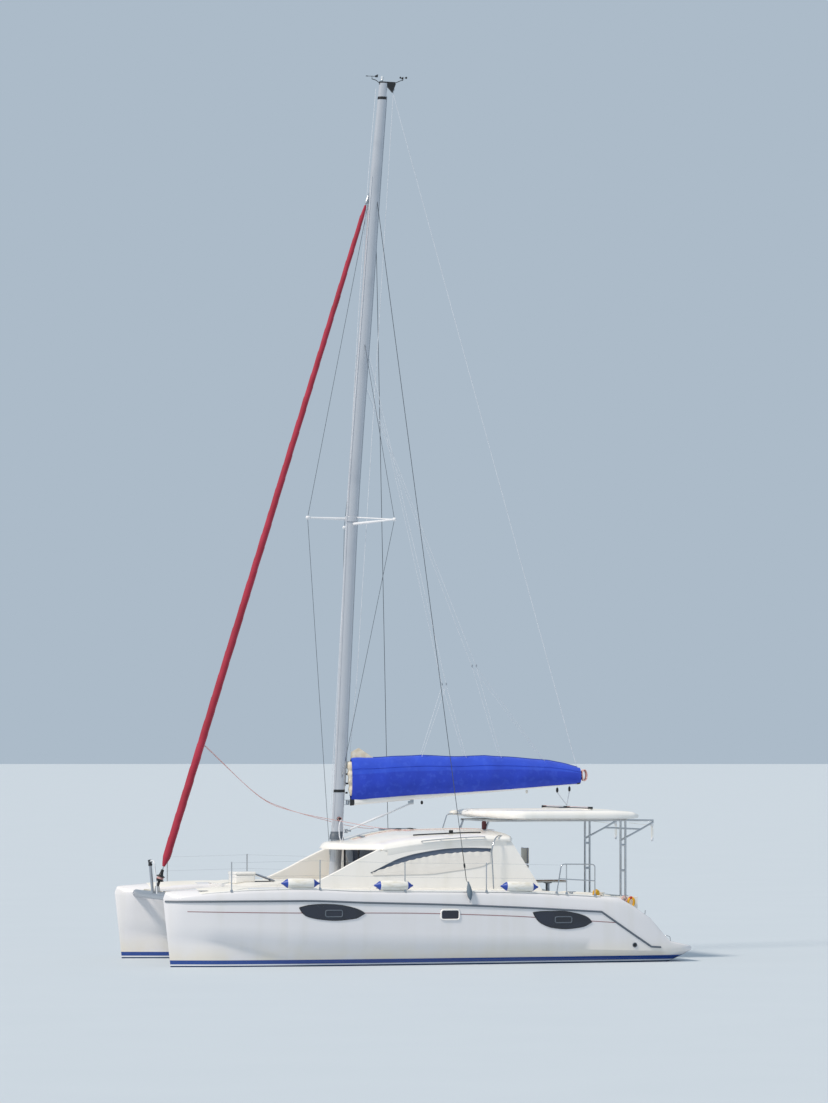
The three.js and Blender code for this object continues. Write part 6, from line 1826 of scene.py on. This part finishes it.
fit(turned(capstan, (-3.72, HULL_Y + 0.60, 1.385), (-3.72, HULL_Y + 0.60, 2), 24), "stern_capstan",
    "boat", vinyl, sharp=40)
quoit_at = Vector((-4.73, 1.765, 1.232))


def on_quoit(a):
    return quoit_at + Vector((0.066 * math.cos(a), 0.01 * math.sin(3 * a), 0.10 * math.sin(a)))


ring_form = tubes("rescue_quoit", [[on_quoit(2 * math.pi * k / 40) for k in range(41)]], 0.052, "boat",
    yellow, facets=14)
for number, start in enumerate((50, 250)):
    band = [on_quoit(math.radians(start + t)) for t in (0, 20, 40, 60)]
    tubes(f"quoit_band_{number + 1}", [band], 0.056, "boat", orange, facets=14)
tubes("quoit_hook", [[quoit_at + Vector((0.02, 0, 0.115)), quoit_at + Vector((0.03, -0.08, 0.10))]],
    0.012, "boat", stainless)
red_coil = []
for k in range(61):
    a = 2 * math.pi * k / 12
    red_coil.append((-4.58 + 0.05 * math.sin(a), 1.72 + 0.012 * k / 12, 1.305 + 0.062 * math.cos(a)))
tubes("rescue_line_coil", [red_coil], 0.016, "boat", red_rope)

LADDER_X, LADDER_Y, LADDER_Z = -5.743, -HULL_Y, 0.348
LADDER_HALF, LADDER_REACH, LADDER_SLOPE = 0.19, 0.50, math.radians(12.4)


def on_ladder(t, y):
    return Vector((LADDER_X + t * math.cos(LADDER_SLOPE), LADDER_Y + y,
        LADDER_Z + t * math.sin(LADDER_SLOPE)))


stile = rounded([on_ladder(0, -LADDER_HALF), on_ladder(LADDER_REACH, -LADDER_HALF),
                 on_ladder(LADDER_REACH, LADDER_HALF), on_ladder(0, LADDER_HALF)], 0.05)
rails = [stile, [on_ladder(0, -LADDER_HALF - 0.012), on_ladder(0, LADDER_HALF + 0.012)]]
tubes("ladder_stiles", rails, 0.02, "ladder", stainless, ["boarding_ladder"], facets=12)
for number, t in enumerate((0.17, 0.34)):
    rung = [on_ladder(t, -LADDER_HALF), on_ladder(t, LADDER_HALF)]
    tubes(f"ladder_rung_{number + 1}", [rung], 0.022, "ladder", black, facets=12)
for number, y in enumerate((-0.2023 - 0.014, 0.2023)):
    lug = block((LADDER_X - 0.009, LADDER_Y + y, LADDER_Z - 0.06),
        (LADDER_X + 0.05, LADDER_Y + y + 0.014, LADDER_Z + 0.009), 0.003)
    fit(lug, f"ladder_lug_{number + 1}", "boat", stainless)


# Keels: short fixed fins of solid laminate in antifouling paint, with rounded noses.
antifoul = Paint("antifouling", tone("1c3468"), 0.72)
slime = antifoul.noise(4.0, 5.0)
antifoul.tinted(slime.above(0.55, 0.15) * 0.5, tone("2f4a6c"))
antifoul.tinted(antifoul.noise(22.0, 4.0).above(0.62, 0.08) * 0.4, tone("5a6f72"))
antifoul.bump(slime, 0.003)
KEEL_LEVELS = [(-0.30, 0.95, -1.75, 0.13), (-0.70, 0.80, -1.60, 0.11), (-1.02, 0.60, -1.50, 0.09),
    (-1.075, 0.52, -1.44, 0.075), (-1.09, 0.42, -1.36, 0.05)]
FOIL_STEPS = 18


def foil_ring(nose, tail, half, z, y, tail_share=0.06):
    """A level section of a fin: round in front, widest at a third, thin at its tail."""
    ring = []
    for k in range(FOIL_STEPS + 1):
        t = (1 - math.cos(math.pi * k / FOIL_STEPS)) / 2
        body = 2.6 * math.sqrt(t) * (1 - t) ** 0.9 * (1 - 0.18 * t)
        ring.append((nose + (tail - nose) * t, half * min(1.0, body / 1.0 * 0.98) + half * tail_share * t))
    other = [(x, -w) for x, w in reversed(ring[1:])]
    return [Vector((x, y + w, z)) for x, w in [*ring, *other]]


for name, side in SIDES:
    rings = []
    for (z0, *a), (z1, *b) in zip(KEEL_LEVELS, KEEL_LEVELS[1:]):
        for k in range(5):
            nose, tail, half = (p + (q - p) * k / 5 for p, q in zip(a, b))
            rings.append(foil_ring(nose, tail, half, z0 + (z1 - z0) * k / 5, side * HULL_Y))
    z, nose, tail, half = KEEL_LEVELS[-1]
    rings.append(foil_ring(nose, tail, half, z, side * HULL_Y))
    fit(sheath(rings), f"{name}_keel", "boat", antifoul, [f"keel_{name}"], sharp=50)

# Rudders: balanced blades on stainless stocks that turn in tubes through the hulls.
RUDDER_LEVELS = [(-0.16, -4.42, -4.96, 0.040), (-0.33, -4.425, -4.955, 0.042),
    (-0.65, -4.445, -4.92, 0.034), (-0.92, -4.465, -4.885, 0.024), (-0.95, -4.49, -4.86, 0.012)]
STOCK_X = -4.55
for name, side in SIDES:
    body = f"rudder_{name}_body"
    rings = []
    for (z0, *a), (z1, *b) in zip(RUDDER_LEVELS, RUDDER_LEVELS[1:]):
        for k in range(5):
            nose, tail, half = (p + (q - p) * k / 5 for p, q in zip(a, b))
            z = z0 + (z1 - z0) * k / 5
            ring = foil_ring(nose, tail, half, z, side * HULL_Y)
            rings.append([Vector((p.x, p.y, min(p.z, -0.275 - 0.125 * (p.x + 4.42) / 0.54 if z > -0.275
                else p.z))) for p in ring])
    z, nose, tail, half = RUDDER_LEVELS[-1]
    rings.append(foil_ring(nose, tail, half, z, side * HULL_Y))
    fit(sheath(rings), f"{name}_rudder_blade", body, antifoul, [f"rudder_{name}"], sharp=50)
    stock = turned([(0, 0.029), (0.003, 0.030), (0.56, 0.030), (0.565, 0.027)],
        (STOCK_X, side * HULL_Y, -0.32), (STOCK_X, side * HULL_Y, 1))
    fit(stock, f"{name}_rudder_stock", body, stainless)
    bearing = turned([(0, 0.034), (0.004, 0.052), (0.02, 0.055), (0.03, 0.05)],
        (STOCK_X, side * HULL_Y, -0.215), (STOCK_X, side * HULL_Y, 1))
    fit(bearing, f"{name}_rudder_bearing", "boat", black, sharp=40)


# Saildrives: cast alloy legs in grey paint with a bulb, each with a three-bladed bronze propeller
# and a sacrificial ring behind it; the diesels stand on bearers below their lids.
drive_paint = Paint("drive_grey", tone("8f979f"), 0.5)
drive_paint.tinted(drive_paint.noise(8.0, 5.0).above(0.5, 0.2) * 0.5, tone("6f7881"))
drive_paint.bump(drive_paint.noise(40.0, 4.0), 0.001)
bronze = Paint("propeller_bronze", tone("9a7440"), 0.32, 0.9)
patina = bronze.noise(12.0, 5.0)
bronze.tinted(patina.above(0.55, 0.15) * 0.5, tone("5f7a5c"))
bronze.put("Roughness", patina * 0.3 + 0.2)
zinc = Paint("anode_zinc", tone("a5a8a8"), 0.7, 0.5)
zinc.tinted(zinc.noise(30.0, 5.0) * 0.6, tone("7c8080"))
engine_paint = Paint("engine_green", tone("4d5f5c"), 0.5)
engine_paint.tinted(engine_paint.noise(6.0, 5.0).above(0.55, 0.2) * 0.5, tone("39423f"))
DRIVE_Z, HUB_X, HUB_LENGTH, BLADE_REACH = -0.72, -3.5005, 0.11, 0.20


def propeller_blade(angle, middle):
    """One blade: a thin twisted leaf about the shaft."""
    rings = []
    for k in range(13):
        r = 0.040 + (BLADE_REACH - 0.040) * k / 12
        share = k / 12
        chord = 0.055 + 0.10 * math.sin(math.pi * min(1, share * 0.72 + 0.12)) if k < 12 else 0.05
        pitch = math.radians(66 - 38 * share)
        thick = 0.007 * (1 - 0.75 * share) + 0.001
        ring = []
        for j in range(16):
            a = 2 * math.pi * j / 16
            u, v = math.cos(a) * chord / 2, math.sin(a) * thick / 2
            along_x, across_y = (u * math.cos(pitch) - v * math.sin(pitch),
                u * math.sin(pitch) + v * math.cos(pitch))
            swing = across_y / max(r, 0.05)
            ring.append(middle + Vector((along_x * 0.82, r * math.sin(angle + swing),
                r * math.cos(angle + swing))))
        rings.append(ring)
    return sheath(rings)


for name, side in SIDES:
    y = side * HULL_Y
    strut = []
    for z, nose, tail, half in ((-0.34, -3.17, -3.47, 0.040), (-0.45, -3.185, -3.455, 0.038),
            (-0.60, -3.19, -3.45, 0.036), (-0.70, -3.185, -3.46, 0.040)):
        strut.append(foil_ring(nose, tail, half, z, y, 0.25))
    fit(sheath(strut), f"{name}_drive_leg", "boat", drive_paint, [f"saildrive_{name}"],
        sharp=50)
    bulb = [(0, 0.0), (0.004, 0.012), (0.03, 0.035), (0.08, 0.053), (0.20, 0.054), (0.33, 0.050),
        (0.37, 0.046)]
    fit(turned(bulb, (-3.13, y, DRIVE_Z), (-3.6, y, DRIVE_Z), 28), f"{name}_drive_bulb", "boat",
        drive_paint, sharp=50)
    plate_rim = [(-3.18, y - 0.045, -0.615), (-3.18, y + 0.045, -0.615), (-3.46, y + 0.045, -0.615),
        (-3.46, y - 0.045, -0.615)]
    fit(plate(plate_rim, (0, 0, 0.010)), f"{name}_drive_plate", "boat", drive_paint)
    gasket = [(-3.12, y - 0.065, -0.36), (-3.12, y + 0.065, -0.36), (-3.50, y + 0.065, -0.36),
        (-3.50, y - 0.065, -0.36)]
    fit(plate(gasket, (0, 0, 0.03)), f"{name}_drive_gasket", "boat", black)
    body = f"propeller_{name}_body"
    hub_rows = [(0, 0.040), (0.003, 0.047), (0.05, 0.048), (0.08, 0.044), (0.086, 0.040)]
    fit(turned(hub_rows, (HUB_X, y, DRIVE_Z), (HUB_X - 1, y, DRIVE_Z), 28), f"{name}_propeller_hub", body,
        bronze, [f"propeller_{name}"], sharp=50)
    cone = [(0.085, 0.041), (0.089, 0.040), (0.102, 0.028), (0.109, 0.012), (HUB_LENGTH, 0.0)]
    fit(turned(cone, (HUB_X, y, DRIVE_Z), (HUB_X - 1, y, DRIVE_Z), 28), f"{name}_propeller_anode", body,
        zinc, sharp=50)
    for k in range(3):
        blade = propeller_blade(2 * math.pi * k / 3, Vector((HUB_X - 0.045, y, DRIVE_Z)))
        fit(blade, f"{name}_propeller_blade_{k + 1}", body, bronze, sharp=60)
    _, ENGINE_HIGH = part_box(f"engine_{name}")
    dressed(f"engine_{name}", engine_paint, f"{name}_engine_block", 0.02, "boat")
    ribs = [[(x, y - 0.12, ENGINE_HIGH.z - 0.003), (x, y + 0.12, ENGINE_HIGH.z - 0.003)] for x in (-3.70,
        -3.61, -3.52, -3.43, -3.34)]
    tubes(f"{name}_engine_ribs", ribs, 0.03, "boat", engine_paint, facets=8)
    belt = [Vector((ENGINE_HIGH.x + 0.008, y + 0.06 * math.cos(a),
        0.42 + 0.12 * math.sin(a))) for a in (2 * math.pi * k / 28 for k in range(29))]
    tubes(f"{name}_engine_belt", [belt], 0.014, "boat", black, facets=6)


# Saloon furniture: a U-shaped settee with cushions, an oiled table on a leg, and a galley counter with
# a worktop, a sink and locker fronts.
SETTEE = [(0.25, -0.06), (0.25, 1.24), (-1.5, 1.24), (-1.5, 0.72), (-0.25, 0.72), (-0.25, -0.06)]
SETTEE_FOOT, SETTEE_TOP, SETTEE_PAD = 0.95, 1.37, 0.10
seat_base("settee_base", SETTEE, SETTEE_FOOT, SETTEE_TOP - SETTEE_PAD, "saloon_settee")
low, high = SETTEE_TOP - SETTEE_PAD + 0.001, SETTEE_TOP
cushion("settee_cushion_side", (-1.49, 0.73, low), (-0.27, 1.23, high), saloon_cloth, 1)
cushion("settee_cushion_corner", (-0.26, 0.73, low), (0.24, 1.23, high), saloon_cloth)
cushion("settee_cushion_front", (-0.24, -0.05, low), (0.24, 0.72, high), saloon_cloth)
SALOON_TABLE_LOW, SALOON_TABLE_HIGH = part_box("saloon_table")
table_top("saloon_table_top", Vector((SALOON_TABLE_LOW.x, SALOON_TABLE_LOW.y,
    SALOON_TABLE_HIGH.z - 0.035)), SALOON_TABLE_HIGH, teak, "saloon_table")
pedestal("saloon_table_leg", -0.80, 0.30, SALOON_TABLE_LOW.z, SALOON_TABLE_HIGH.z - 0.035)
GALLEY_LOW, GALLEY_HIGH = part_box("galley_counter")
dressed("galley_counter", gelcoat, "galley_cabinet", 0.012, "boat")
worktop = block((GALLEY_LOW.x, GALLEY_LOW.y, GALLEY_HIGH.z - 0.002),
    (GALLEY_HIGH.x, GALLEY_HIGH.y + 0.012, GALLEY_HIGH.z + 0.02), 0.006)
fit(worktop, "galley_worktop", "boat", nonskid)
sink = rounded([(-0.72, -1.12, 0), (-0.72, -0.82, 0), (-1.10, -0.82, 0), (-1.10, -1.12, 0),
    (-0.74, -1.12, 0)], 0.05)
tubes("galley_sink_rim", [[(p.x, p.y, GALLEY_HIGH.z + 0.022) for p in sink]], 0.014, "boat",
    stainless, facets=8)
fit(block((-1.09, -1.11, GALLEY_HIGH.z + 0.017), (-0.73, -0.83, GALLEY_HIGH.z + 0.023), 0.002),
    "galley_sink_bowl", "boat", stainless)
tap = rounded([(-0.91, -1.15, GALLEY_HIGH.z + 0.02), (-0.91, -1.15, GALLEY_HIGH.z + 0.20),
    (-0.91, -1.02, GALLEY_HIGH.z + 0.20), (-0.91, -1.02, GALLEY_HIGH.z + 0.15)], 0.04)
tubes("galley_tap", [tap], 0.02, "boat", stainless)
fronts = []
for x in (-1.65, -1.15, -0.65, -0.15):
    door_at = (x, GALLEY_HIGH.y - 0.004, GALLEY_LOW.z + 0.12)
    fronts.append(block(door_at, (x + 0.36, GALLEY_HIGH.y + 0.008, GALLEY_HIGH.z - 0.10), 0.006))
for number, bm in enumerate(fronts):
    fit(bm, f"galley_locker_{number + 1}", "boat", teak)

# Sizes of the boat as built and as finished, side by side
boxes = {"cad_box": cad_box, "visual_box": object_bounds()}
{name: [list(point) for point in box] for name, box in boxes.items()}
